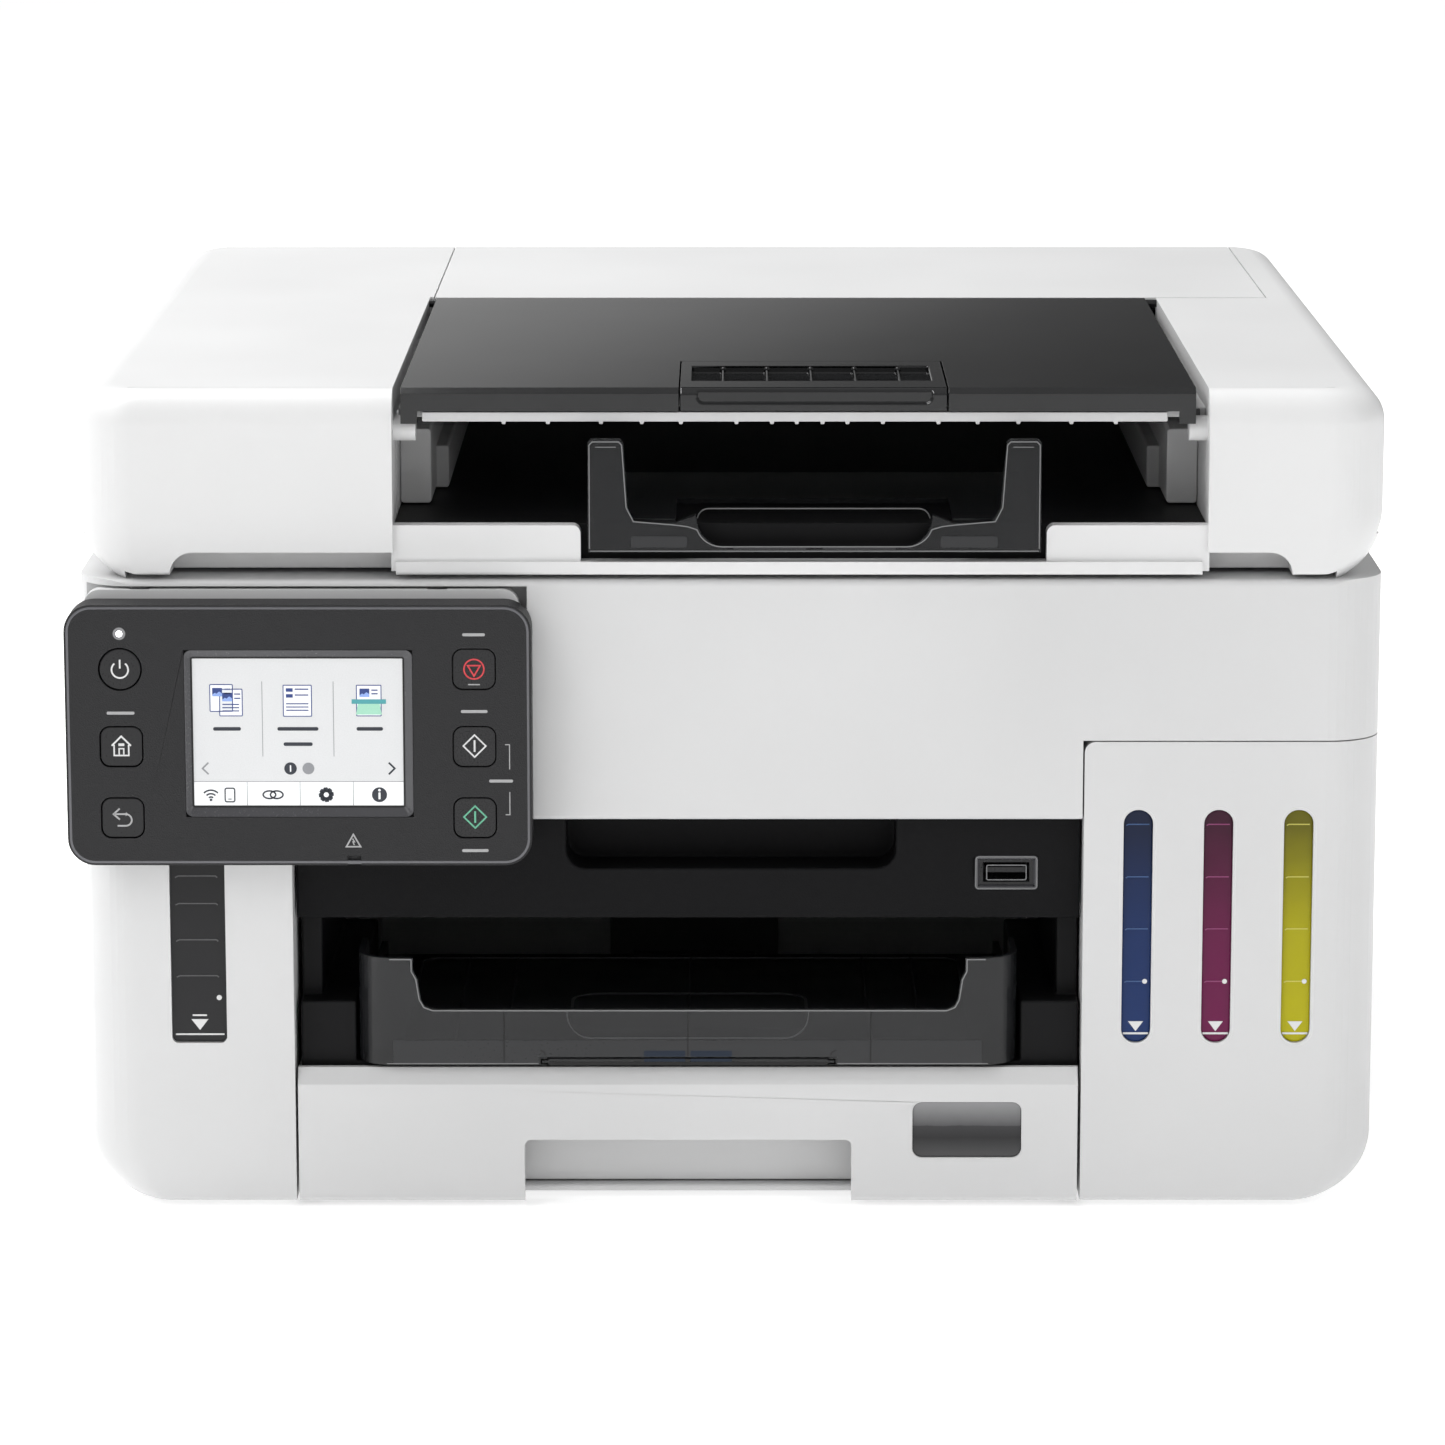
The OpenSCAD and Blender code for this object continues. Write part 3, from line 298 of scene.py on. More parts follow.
def build_materials():
    c = colors()
    white = tuple(c.case)
    cover = tuple(c.cover)
    black = tuple(c.black)
    smoke = tuple(c.smoke)
    recipes = {
        # cover_white is lighter than case_white: painted light from above on the cover.
        "case_white": (moulded, white, 0.42, 1500.0, 0.000012),
        "cover_white": (moulded, cover, 0.4, 1500.0, 0.00001),
        # Cover white darkened: painted shade on the well's side walls and steps, on the input deck and in the
        # jam cover's hollow.
        "well_gray": (moulded, shade(cover, 0.78), 0.5, 1500.0, 0.000012),
        "panel_black": (leathery, shade(black, 0.72), 0.46, 2300.0, 0.00009, 0.3),
        "bezel_black": (leathery, shade(black, 0.35), 0.52, 1700.0, 0.00005, 0.08),
        "floor_black": (moulded, shade(black, 0.3), 0.5, 1300.0, 0.00002, 0.1),
        "slot_black": (moulded, shade(black, 0.35), 0.5, 900.0, 0.00002, 0.12),
        "key_black": (moulded, shade(black, 0.7), 0.28, 2000.0, 0.000008, 0.3),
        # Black darkened further: dark seams and lines, and painted shade in the vent openings and the screws'
        # cross recesses.
        "groove_black": (moulded, shade(black, 0.2), 0.7, 1200.0, 0.00001),
        # Black made six times lighter: painted highlight along the panel's bevelled edge.
        "rim_gloss": (moulded, shade(black, 6.0), 0.22, 1500.0, 0.000008),
        "sheet_smoke": (smoked, shade(smoke, 0.5), 0.86, 0.14, 0.35),
        "tray_smoke": (smoked, shade(smoke, 0.3), 0.95, 0.05, 0.5),
        "stop_smoke": (smoked, shade(smoke, 0.55), 0.8, 0.12, 0.25),
        "gray_plastic": (moulded, (0.09, 0.09, 0.095), 0.5, 1100.0, 0.00002),
        "steel": (metal, (0.58, 0.59, 0.6), 0.34),
        "rubber": (moulded, (0.022, 0.022, 0.024), 0.78, 700.0, 0.00005),
        "tank_clear": (smoked, (0.45, 0.46, 0.48), 0.55),
        "board_green": (moulded, (0.01, 0.12, 0.045), 0.35, 600.0, 0.00002),
        "pad_white": (moulded, (0.85, 0.85, 0.85), 0.6, 800.0, 0.00003),
        "glass": (smoked, (0.35, 0.42, 0.43), 0.45, 0.05),
        "print_white": (moulded, (0.34, 0.34, 0.345), 0.5, 1800.0, 0.000005),
        "print_bright": (moulded, (0.62, 0.62, 0.62), 0.45, 1800.0, 0.000005),
        "stop_red": (moulded, (0.55, 0.035, 0.045), 0.45, 1800.0, 0.000005),
        "start_green": (moulded, (0.12, 0.42, 0.27), 0.45, 1800.0, 0.000005),
        "lamp_white": (lit, (1.0, 1.0, 1.0), 3.0),
        # Light grey lines on smoked plastic: painted highlights along its rims and edges; the dim one is a
        # fainter painted highlight.
        "smoke_edge": (moulded, (0.16, 0.162, 0.165), 0.25, 1500.0, 0.000006, 0.4),
        "smoke_edge_dim": (moulded, (0.05, 0.051, 0.053), 0.3, 1500.0, 0.000006, 0.3),
        "smoke_light": (moulded, (0.022, 0.0225, 0.024), 0.3, 1500.0, 0.000006, 0.3),
        "patch_blue": (moulded, (0.012, 0.019, 0.034), 0.4, 900.0, 0.000006, 0.2),
        # Cover white darkened: painted shade along the crease.
        "crease_gray": (moulded, shade(cover, 0.86), 0.5, 1500.0, 0.000006),
        # Cassette window: painted light at the top, painted shade lower down.
        "pane_gradient": (painted_light_pane, 15.9, 33.7),
        "lamp_halo": (lit, (0.16, 0.16, 0.165), 0.3),
        # Black made three times lighter: painted highlight on the bevels round the screen and the USB socket.
        "bevel_gloss": (moulded, shade(black, 3.0), 0.25, 1500.0, 0.000006),
        # Case white made lighter: painted highlight on the lips round the ink and cassette windows.
        "lip_white": (moulded, shade(white, 1.05), 0.3, 1500.0, 0.000008),
        "tick_cyan": (moulded, (0.02, 0.07, 0.2), 0.3, 900.0, 0.00001),
        "tick_magenta": (moulded, (0.22, 0.025, 0.12), 0.3, 900.0, 0.00001),
        "tick_yellow": (moulded, (0.5, 0.47, 0.08), 0.3, 900.0, 0.00001),
        "tick_black": (moulded, (0.06, 0.06, 0.062), 0.3, 900.0, 0.00001),
        "lcd_light": (lit, (0.46, 0.465, 0.47), 0.5, 0.25),
        "lcd_bar": (lit, (0.60, 0.61, 0.62), 0.62, 0.25),
        "lcd_line": (lit, (0.012, 0.016, 0.026), 0.1, 0.35),
        "lcd_gray": (lit, (0.23, 0.235, 0.25), 0.1, 0.3),
        "lcd_blue": (lit, (0.012, 0.035, 0.17), 0.2, 0.3),
        "lcd_sky": (lit, (0.2, 0.3, 0.6), 0.3, 0.3),
        "lcd_teal": (lit, (0.05, 0.26, 0.28), 0.3, 0.3),
        "lcd_mint": (lit, (0.26, 0.5, 0.38), 0.35, 0.3),
        "ink_cyan": (ink_painted_shade, tuple(c.cyan_ink)),
        "ink_magenta": (ink_painted_shade, tuple(c.magenta_ink)),
        "ink_yellow": (ink_painted_shade, tuple(c.yellow_ink)),
        "ink_black": (ink_painted_shade, (0.012, 0.012, 0.013)),
    }
    for name, (maker, *values) in recipes.items():
        MATERIALS[name] = maker(name, *values)


# ---- Mesh building, in millimetres ----

def arc(cx, cy, rx, ry, start, end, steps):
    """Points of an elliptical arc, both ends included, angles in degrees."""
    turns = [math.radians(start + (end - start) * i / steps) for i in range(steps + 1)]
    return [(cx + rx * math.cos(t), cy + ry * math.sin(t)) for t in turns]


def soft(x0, y0, x1, y1, radius, steps=None):
    """Rectangle with its own radius at each corner: lower left, lower right, upper right, upper left."""
    steps = steps or sizes().steps
    r = radius if isinstance(radius, (list, tuple)) else [radius] * 4
    loop = []
    for q, (cx, cy, turn) in zip(r, [(x0, y0, 180), (x1, y0, 270), (x1, y1, 0), (x0, y1, 90)]):
        sx = 1 if cx == x0 else -1
        sy = 1 if cy == y0 else -1
        loop += arc(cx + sx * q, cy + sy * q, q, q, turn, turn + 90, steps) if q > 0 else [(cx, cy)]
    return loop


def disc(cx, cy, r, steps=40):
    return arc(cx, cy, r, r, 0, 360 * (1 - 1 / steps), steps - 1)


def grow(loop, by):
    """The closed loop moved outwards by a distance, with mitred corners. The loop runs anticlockwise."""
    out = []
    count = len(loop)
    for i, (x, y) in enumerate(loop):
        ax, ay = loop[i - 1]
        bx, by_ = loop[(i + 1) % count]
        d1 = Vector((x - ax, y - ay))
        d2 = Vector((bx - x, by_ - y))
        d1 = d1.normalized() if d1.length > 1e-6 else d2.normalized()
        d2 = d2.normalized() if d2.length > 1e-6 else d1
        n1 = Vector((d1.y, -d1.x))
        n2 = Vector((d2.y, -d2.x))
        mitre = n1 + n2
        scale = by / max(0.35, 1 + n1.dot(n2))
        out.append((x + mitre.x * scale, y + mitre.y * scale))
    return out


def at(axis, loop, w):
    """A loop placed in space: its plane lies across the axis, at w."""
    if axis == "x":
        return [(w, u, v) for u, v in loop]
    if axis == "y":
        return [(u, w, v) for u, v in loop]
    return [(u, v, w) for u, v in loop]


def new_piece(name, bm):
    bmesh.ops.recalc_face_normals(bm, faces=bm.faces)
    mesh = bpy.data.meshes.new(name)
    bm.to_mesh(mesh)
    bm.free()
    piece = bpy.data.objects.new(name, mesh)
    bpy.context.scene.collection.objects.link(piece)
    return piece


def add_loft(bm, rings, capped=True):
    """Adds a skin through closed rings with equal numbers of points."""
    rows = [[bm.verts.new(Vector(p) * MM) for p in ring] for ring in rings]
    count = len(rows[0])
    for lower, upper in zip(rows, rows[1:]):
        for i in range(count):
            j = (i + 1) % count
            bm.faces.new((lower[i], lower[j], upper[j], upper[i]))
    if capped:
        bm.faces.new(rows[0][::-1])
        bm.faces.new(rows[-1])
    return rows


def loft(name, rings):
    bm = bmesh.new()
    add_loft(bm, rings)
    return new_piece(name, bm)


def prism(name, axis, loop, a, b):
    """Straight bar with the loop as its section."""
    return loft(name, [at(axis, loop, a), at(axis, loop, b)])


# ---- Printed marks and inlays ----


class Marks:
    """Collects flat shapes that stand a hair proud of a face across one axis. The face looks along out."""

    def __init__(self, axis, face, out=-1, thick=0.1):
        self.bm = bmesh.new()
        self.axis = axis
        self.low = face - out * 0.05
        self.high = face + out * thick

    def fill(self, *loops):
        for loop in loops:
            add_loft(self.bm, [at(self.axis, loop, self.low), at(self.axis, loop, self.high)])
        return self

    def outline(self, loop, width):
        outer = grow(loop, width / 2)
        inner = grow(loop, -width / 2)
        rings = [(outer, self.low), (outer, self.high), (inner, self.high), (inner, self.low),
                 (outer, self.low)]
        add_loft(self.bm, [at(self.axis, ring, w) for ring, w in rings], capped=False)
        return self

    def line(self, points, width):
        left, right = [], []
        for i, (x, y) in enumerate(points):
            before = Vector(points[max(i - 1, 0)])
            after = Vector(points[min(i + 1, len(points) - 1)])
            here = Vector((x, y))
            d1 = (here - before).normalized() if i else (after - here).normalized()
            d2 = (after - here).normalized() if i < len(points) - 1 else d1
            normal = Vector((-(d1.y + d2.y), d1.x + d2.x)).normalized()
            reach = width / 2 / max(0.4, normal.dot(Vector((-d1.y, d1.x))))
            left.append((x + normal.x * reach, y + normal.y * reach))
            right.append((x - normal.x * reach, y - normal.y * reach))
        return self.fill(left + right[::-1])

    def done(self, name, finish, body, slot):
        bmesh.ops.remove_doubles(self.bm, verts=self.bm.verts, dist=1e-7)
        return place(new_piece(name, self.bm), finish, body, slot)


def place(piece, finish, body, slot, *nodes):
    """Gives a new piece its finish and its body, and hides the nodes it stands for. Its slot is not used."""
    if finish:
        piece.data.materials.append(MATERIALS[finish])
    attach(piece, body)
    if nodes:
        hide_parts(*nodes)
    return piece


def smooth(piece, angle=35.0):
    """Shades a piece smoothly and keeps its sharp edges."""
    piece.data.polygons.foreach_set("use_smooth", [True] * len(piece.data.polygons))
    piece.data.set_sharp_from_angle(angle=math.radians(angle))
    normals = piece.modifiers.new("Normals", "WEIGHTED_NORMAL")
    normals.keep_sharp = True
    return piece


def ring_piece(name, rings, finish, body, slot):
    """A closed band through rings, the last of which meets the first."""
    bm = bmesh.new()
    add_loft(bm, [*rings, rings[0]], capped=False)
    bmesh.ops.remove_doubles(bm, verts=bm.verts, dist=1e-7)
    return smooth(place(new_piece(name, bm), finish, body, slot))


def diamond(cx, cz, half):
    return [(cx - half, cz), (cx, cz - half), (cx + half, cz), (cx, cz + half)]


# ---- Operation panel ----

KEY_LEFT_X = -182.75
KEY_RIGHT_X = -76.15
KEY_ROWS = (171.3, 147.5, 125.6)
SCREEN = (-163.5, 125.9, -94.7, 177.2)
GLASS = (-161.5, 128.7, -97.4, 174.7)
FACE = PANEL_LOW[1]


class PRINTER_OT_panel_trim(bpy.types.Operator):
    """Bevels of the operation panel with painted highlights, its lamp and the marks on its keys"""

    bl_idname = "printer.panel_trim"
    bl_label = "Panel trim"

    def execute(self, context):
        x0, z0, x1, z1 = PANEL_LOW[0], PANEL_LOW[2], PANEL_HIGH[0], PANEL_HIGH[2]
        edge = soft(x0, z0, x1, z1, 8.3)
        rings = [at("y", grow(edge, -d), FACE + y) for d, y in
                 ((0.55, 0.5), (0.45, 0.12), (0.8, -0.08), (1.35, -0.05), (1.5, 0.25), (1.5, 0.9),
                  (0.7, 0.9))]
        # The rim's lighter black is a painted highlight on the panel's bevelled edge.
        ring_piece("panel_rim", rings, "rim_gloss", "panel", "black_plastic")
        window = soft(*SCREEN, 2.2)
        glass = soft(*GLASS, 0.6)
        rings = [at("y", grow(window, -0.06), FACE - 0.02), at("y", grow(window, -0.4), FACE + 0.02),
                 at("y", grow(glass, 0.15), FACE + 1.5), at("y", grow(glass, 0.15), FACE + 1.75),
                 at("y", grow(window, -0.06), FACE + 1.75)]
        # Lighter black: painted highlight on the screen's bevel.
        ring_piece("screen_bevel", rings, "bevel_gloss", "panel", "black_plastic")
        rings = [at("y", grow(glass, 0.2), FACE + 1.45), at("y", grow(glass, -0.35), FACE + 1.5),
                 at("y", grow(glass, -0.35), FACE + 1.85), at("y", grow(glass, 0.2), FACE + 1.85)]
        ring_piece("screen_frame", rings, "groove_black", "panel", "black_plastic")

        lamp = Marks("y", FACE, thick=0.25).fill(disc(KEY_LEFT_X, 182.2, 0.95, 24))
        lamp.done("power_lamp", "lamp_white", "panel", "screen_glass")
        halo = Marks("y", FACE, thick=0.04).fill(disc(KEY_LEFT_X, 182.2, 1.9, 32))
        halo.done("power_lamp_halo", "lamp_halo", "panel", "screen_glass")
        alarm = Marks("y", FACE)
        alarm.outline([(-115.2, 116.7), (-110.9, 116.7), (-113.05, 120.5)], 0.45)
        alarm.line([(-113.3, 119.2), (-112.7, 118.2), (-113.2, 118.2), (-112.8, 117.2)], 0.35)
        alarm.done("alarm_mark", "print_white", "panel", "black_plastic")
        label = Marks("y", FACE)
        for x, z, half in ((KEY_LEFT_X, 157.9, 4.2), (KEY_RIGHT_X, 181.9, 3.4), (KEY_RIGHT_X, 158.4, 4.0),
                           (KEY_RIGHT_X, 115.5, 4.0), (-68.2, 137.0, 3.6)):
            label.fill(soft(x - half, z - 0.45, x + half, z + 0.45, 0.4, 4))
        label.line([(-66.9, 148.2), (-65.6, 148.2), (-65.6, 140.6)], 0.3)
        label.line([(-65.6, 133.6), (-65.6, 126.6), (-66.9, 126.6)], 0.3)
        label.done("panel_marks", "print_white", "panel", "black_plastic")

        key = FACE + 0.4
        x, z = KEY_LEFT_X, KEY_ROWS[0]
        power = Marks("y", key)
        power.line(arc(x, z - 0.2, 2.5, 2.5, 130, 410, 24), 0.5).line([(x, z + 0.2), (x, z + 2.9)], 0.5)
        power.done("power_mark", "print_bright", "key_power", "key_plastic")
        z = KEY_ROWS[1]
        home = Marks("y", key)
        home.line([(x - 2.9, z + 0.3), (x, z + 3.2), (x + 2.9, z + 0.3)], 0.5)
        home.line([(x - 2.2, z + 0.6), (x - 2.2, z - 2.7), (x + 2.2, z - 2.7), (x + 2.2, z + 0.6)], 0.45)
        home.line([(x - 0.7, z - 2.6), (x - 0.7, z - 0.6), (x + 0.7, z - 0.6), (x + 0.7, z - 2.6)], 0.4)
        home.fill(soft(x - 0.9, z + 0.2, x + 0.9, z + 1.0, 0.1, 2))
        home.done("home_mark", "print_bright", "key_home", "key_plastic")
        z = KEY_ROWS[2]
        back = Marks("y", key)
        back.line([(x - 2.6, z + 1.1), (x + 0.9, z + 1.1)] + arc(x + 0.9, z - 0.7, 1.8, 1.8, 90, -90, 12)
                  + [(x - 1.6, z - 2.5)], 0.5)
        back.line([(x - 0.9, z + 2.8), (x - 2.8, z + 1.1), (x - 0.9, z - 0.6)], 0.5)
        back.done("back_mark", "print_white", "key_back", "key_plastic")
        x = KEY_RIGHT_X
        z = KEY_ROWS[0]
        stop = Marks("y", key).outline(disc(x, z, 3.0, 40), 0.45)
        stop.outline([(x - 1.9, z + 1.1), (x, z - 2.1), (x + 1.9, z + 1.1)], 0.45)
        stop.done("stop_mark", "stop_red", "key_stop", "key_plastic")
        dash = Marks("y", key).fill(soft(x - 1.8, z - 4.9, x + 1.8, z - 4.55, 0.1, 2))
        dash.done("stop_dash", "print_white", "key_stop", "key_plastic")
        for row, finish, body, name in ((1, "print_bright", "key_black", "black_start_mark"),
                                        (2, "start_green", "key_color", "color_start_mark")):
            z = KEY_ROWS[row] + 0.2
            start = Marks("y", key).outline(diamond(x, z, 3.4), 0.45)
            start.fill(soft(x - 0.28, z - 1.8, x + 0.28, z + 1.8, 0.1, 2))
            start.done(name, finish, body, "key_plastic")
        return {"FINISHED"}


class PRINTER_OT_screen(bpy.types.Operator):
    """The home page that the touch screen shows"""

    bl_idname = "printer.screen"
    bl_label = "Screen"

    def execute(self, context):
        face = box_mm("lcd")[0][1]
        left, top = GLASS[0], GLASS[3]

        def spot(x, z):
            return (left + x, top - z)

        def pad(x0, z0, x1, z1, r=0.2):
            return soft(left + x0, top - z1, left + x1, top - z0, r, 3)

        def show(name, finish, marks):
            marks.done(name, finish, "panel", "screen_glass")

        lines = Marks("y", face, thick=0.04)
        for x in (21.3, 42.8):
            lines.fill(pad(x - 0.1, 7.4, x + 0.1, 30.5, 0))
        lines.fill(pad(0.4, 38.15, 63.7, 38.35, 0))
        for x in (16.4, 32.4, 48.5):
            lines.fill(pad(x - 0.1, 38.4, x + 0.1, 45.6, 0))
        show("screen_lines", "lcd_gray", lines)
        bar = Marks("y", face, thick=0.02).fill(pad(0.4, 38.2, 63.7, 45.6, 0))
        show("screen_bar", "lcd_bar", bar)

        pages = Marks("y", face, thick=0.05)
        sheet = Marks("y", face, thick=0.035)
        for x, z, w, h in ((5.6, 8.4, 6.8, 8.2), (8.5, 9.8, 6.8, 8.2), (27.7, 8.6, 8.5, 9.5),
                           (49.8, 8.6, 7.4, 9.4)):
            pages.outline(pad(x, z, x + w, z + h), 0.3)
            sheet.fill(pad(x, z, x + w, z + h))
        show("screen_pages", "lcd_blue", pages)
        show("screen_sheets", "lcd_bar", sheet)
        picture = Marks("y", face, thick=0.06)
        for x, z in ((6.3, 9.4), (9.3, 10.9), (50.7, 9.6)):
            picture.fill(pad(x, z, x + 3.0, z + 2.6, 0.1))
        for z in (9.5, 11.3):
            picture.fill(pad(28.5, z, 30.6, z + 1.1, 0.1), pad(31.2, z + 0.1, 35.3, z + 0.5, 0.1))
        for x, z in ((9.9, 9.6), (9.9, 10.9), (12.9, 11.1), (12.9, 12.4), (54.3, 9.9), (54.3, 11.0)):
            picture.fill(pad(x, z, x + 1.9, z + 0.4, 0.1))
        for z in (14.3, 15.3, 16.3):
            picture.fill(pad(9.3, z, 14.4, z + 0.35, 0.1), pad(28.5, z - 0.2, 35.3, z + 0.15, 0.1))
        show("screen_pictures", "lcd_blue", picture)
        hills = Marks("y", face, thick=0.07)
        for x, z in ((6.3, 12.0), (9.3, 13.5), (50.7, 12.2)):
            hills.fill([spot(x, z), spot(x + 3.0, z), spot(x + 3.0, z - 0.9), spot(x + 2.1, z - 1.5),
                        spot(x + 1.3, z - 0.8), spot(x + 0.8, z - 1.1), spot(x, z - 0.5)])
        show("screen_hills", "lcd_sky", hills)
        beam = Marks("y", face, thick=0.075).fill(pad(48.3, 12.9, 58.7, 14.3, 0.1))
        show("screen_beam", "lcd_teal", beam)
        glow = Marks("y", face, thick=0.065).fill([spot(50.2, 14.3), spot(49.6, 17.6), spot(57.4, 17.6),
                                                   spot(56.8, 14.3)])
        show("screen_glow", "lcd_mint", glow)

        text = Marks("y", face, thick=0.05)
        for x, z, half in ((10.6, 22.0, 4.2), (32.0, 22.0, 6.2), (32.0, 26.7, 4.4), (53.7, 22.0, 4.0)):
            text.fill(pad(x - half, z - 0.55, x + half, z + 0.55, 0.5))
        text.fill(disc(*spot(29.6, 34.2), 1.9, 32), disc(*spot(24.2, 42.3), 0.01, 8))
        text.line([spot(59.3, 32.4), spot(61.1, 34.2), spot(59.3, 36.0)], 0.55)
        for r, w in ((3.0, 0.5), (1.9, 0.5), (0.9, 0.5)):
            text.line(arc(*spot(5.4, 43.9), r, r, 45, 135, 10), w)
        text.fill(disc(*spot(5.4, 43.9), 0.42, 12))
        text.outline(pad(9.7, 40.3, 12.6, 44.5, 0.5), 0.42)
        text.fill(pad(10.6, 43.5, 11.7, 43.8, 0.1))
        for x in (23.1, 25.3):
            oval = [spot(x + u, 42.3 + 0.62 * v) for u, v in disc(0, 0, 1.9, 28)]
            text.outline(oval[::-1], 0.5)
        cx, cz = spot(40.3, 42.3)
        gear_points = 32
        gear = []
        for i in range(gear_points):
            turn = math.radians(360 / gear_points * i)
            reach = (2.4 if i % 4 < 2 else 1.8) * 0.72
            gear.append((cx + reach * math.cos(turn), cz + reach * math.sin(turn)))
        text.outline(gear, 1.1)
        text.fill(disc(*spot(56.4, 42.3), 2.3, 32))
        show("screen_symbols", "lcd_line", text)
        gray = Marks("y", face, thick=0.05).fill(disc(*spot(35.0, 34.2), 1.8, 32))
        gray.line([spot(4.8, 32.4), spot(3.0, 34.2), spot(4.8, 36.0)], 0.5)
        show("screen_gray", "lcd_gray", gray)
        white = Marks("y", face, thick=0.08)
        white.fill(pad(56.1, 41.6, 56.7, 43.7, 0.1), disc(*spot(56.4, 40.9), 0.4, 12),
                   pad(29.4, 33.2, 29.8, 35.2, 0.1))
        show("screen_white", "lcd_bar", white)
        return {"FINISHED"}


# ---- Ink windows ----

class PRINTER_OT_ink_windows(bpy.types.Operator):
    """Ink behind the four windows, with the level marks"""

    bl_idname = "printer.ink_windows"
    bl_label = "Ink windows"

    def execute(self, context):
        depth = 1.5
        for name, x in (("cyan", 125.4), ("magenta", 149.9), ("yellow", 174.3)):
            slot_loop = soft(x - 4.44, 52.46, x + 4.44, 125.44, 4.4)
            pane = loft(name + "_pane", [at("y", slot_loop, FRONT + 2.4), at("y", slot_loop, FRONT + depth),
                                         at("y", grow(slot_loop, -0.7), FRONT + depth - 0.35)])
            smooth(place(pane, "ink_" + name, "base", "ink"))
            marks = Marks("y", FRONT + depth - 0.35, thick=0.12)
            for z in (120.8, 104.4, 88.1, 71.6):
                marks.line([(x - 3.6, z - 0.35), (x - 3.0, z), (x + 3.4, z)], 0.32)
            marks.done(name + "_ticks", "tick_" + name, "base", "tank_plastic")
            bright = Marks("y", FRONT + depth - 0.35, thick=0.16)
            bright.fill(disc(x + 2.6, 71.6, 0.75, 20), [(x - 2.3, 59.0), (x, 55.9), (x + 2.3, 59.0)])
            bright.fill(soft(x - 3.9, 54.9, x + 3.9, 55.5, 0.1, 2))
            bright.done(name + "_level", "print_bright", "base", "tank_plastic")
            # The lip is case white made lighter: painted highlight round the window.
            lip = grow(slot_loop, 0.15)
            rings = [at("y", grow(lip, 0.9), FRONT - 0.03), at("y", grow(lip, 1.0), FRONT + 0.05),
                     at("y", grow(lip, -0.02), FRONT + 0.75), at("y", grow(lip, -0.1), FRONT + 0.2)]
            ring_piece(name + "_lip", rings, "lip_white", "base", "white_plastic")
        x0, x1 = -170.2, -153.3
        pane = loft("black_pane", [at("y", soft(x0 + 0.06, 52.7, x1 - 0.06, 118.0, 0.5), FRONT + 2.4),
                                   at("y", soft(x0 + 0.06, 52.7, x1 - 0.06, 118.0, 0.5), FRONT + depth)])
        smooth(place(pane, "ink_black", "base", "ink"))
        marks = Marks("y", FRONT + depth, thick=0.15)
        for z in (104.6, 96.0, 84.6, 73.3):
            marks.line([(x0 + 1.6, z - 0.5), (x0 + 2.6, z), (x1 - 3.0, z), (x1 - 2.4, z - 0.5)], 0.35)
        marks.done("black_ticks", "tick_black", "base", "tank_plastic")
        bright = Marks("y", FRONT + depth, thick=0.2)
        mid = (x0 + x1) / 2
        bright.fill(disc(x1 - 2.4, 66.4, 0.8, 20), [(mid - 2.6, 59.6), (mid, 56.2), (mid + 2.6, 59.6)])
        bright.fill(soft(x0 + 1.0, 54.6, x1 - 1.0, 55.1, 0.1, 2),
                    soft(mid - 2.2, 60.6, mid + 2.2, 61.1, 0.1, 2))
        bright.done("black_level", "print_bright", "base", "tank_plastic")
        return {"FINISHED"}


# ---- White shells ----

def copy_of(node, name):
    """A copy of a node's mesh, with its doubled points joined and its flat faces made whole."""
    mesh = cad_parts[node].data.copy()
    mesh.name = name
    mesh.materials.clear()
    bm = bmesh.new()
    bm.from_mesh(mesh)
    bmesh.ops.remove_doubles(bm, verts=bm.verts, dist=0.00002)
    bmesh.ops.dissolve_limit(bm, angle_limit=math.radians(0.4), verts=bm.verts, edges=bm.edges)
    bm.to_mesh(mesh)
    bm.free()
    piece = bpy.data.objects.new(name, mesh)
    bpy.context.scene.collection.objects.link(piece)
    return piece


def bake(piece):
    """Keeps the result of a piece's modifiers as its mesh."""
    graph = bpy.context.evaluated_depsgraph_get()
    mesh = bpy.data.meshes.new_from_object(piece.evaluated_get(graph))
    piece.modifiers.clear()
    piece.data = mesh
    return piece


def combine(piece, other, operation):
    """Boolean of two pieces. The other is used up."""
    cut = piece.modifiers.new("Cut", "BOOLEAN")
    cut.operation = operation
    cut.solver = "EXACT"
    cut.object = other
    bake(piece)
    bpy.data.objects.remove(other)
    return piece


def plan(x0, x1, y0, y1, rx, ry):
    """Rectangle in plan with elliptical corners."""
    steps = sizes().steps
    return (arc(x0 + rx, y0 + ry, rx, ry, 180, 270, steps) + arc(x1 - rx, y0 + ry, rx, ry, 270, 360, steps)
            + arc(x1 - rx, y1 - ry, rx, ry, 0, 90, steps) + arc(x0 + rx, y1 - ry, rx, ry, 90, 180, steps))


def rounded_mass(name, low, high, sill, crown):
    """Block with round corners in plan whose sides curve in by sill at the bottom and crown at the top.
    Each of sill and crown is the reach at the sides, and the reach at the front and back."""
    steps = sizes().steps + 4
    skin = 0.03
    front_rings = 4
    least_r = 5.0
    levels = []
    for i in range(steps + 1):
        t = math.radians(90 * i / steps)
        levels.append((low[2] + sill[0] * (1 - math.cos(t)), sill[0] * (1 - math.sin(t)),
                       sill[1] * max(0.0, 1 - i / front_rings) ** 2))
    for i in range(steps + 1):
        t = math.radians(90 * i / steps)
        levels.append((high[2] - crown[0] * (1 - math.sin(t)), crown[0] * (1 - math.cos(t)),
                       crown[1] * (1 - math.cos(t))))
    rings = []
    for z, ix, iy in levels:
        rx = max(CORNER_R - 0.5 * ix, least_r)
        ry = max(CORNER_R - 0.5 * iy, least_r)
        rings.append(at("z", plan(low[0] + skin + ix, high[0] - skin - ix, low[1] + skin + iy,
                                  high[1] - skin - iy, rx, ry), z))
    return loft(name, rings)


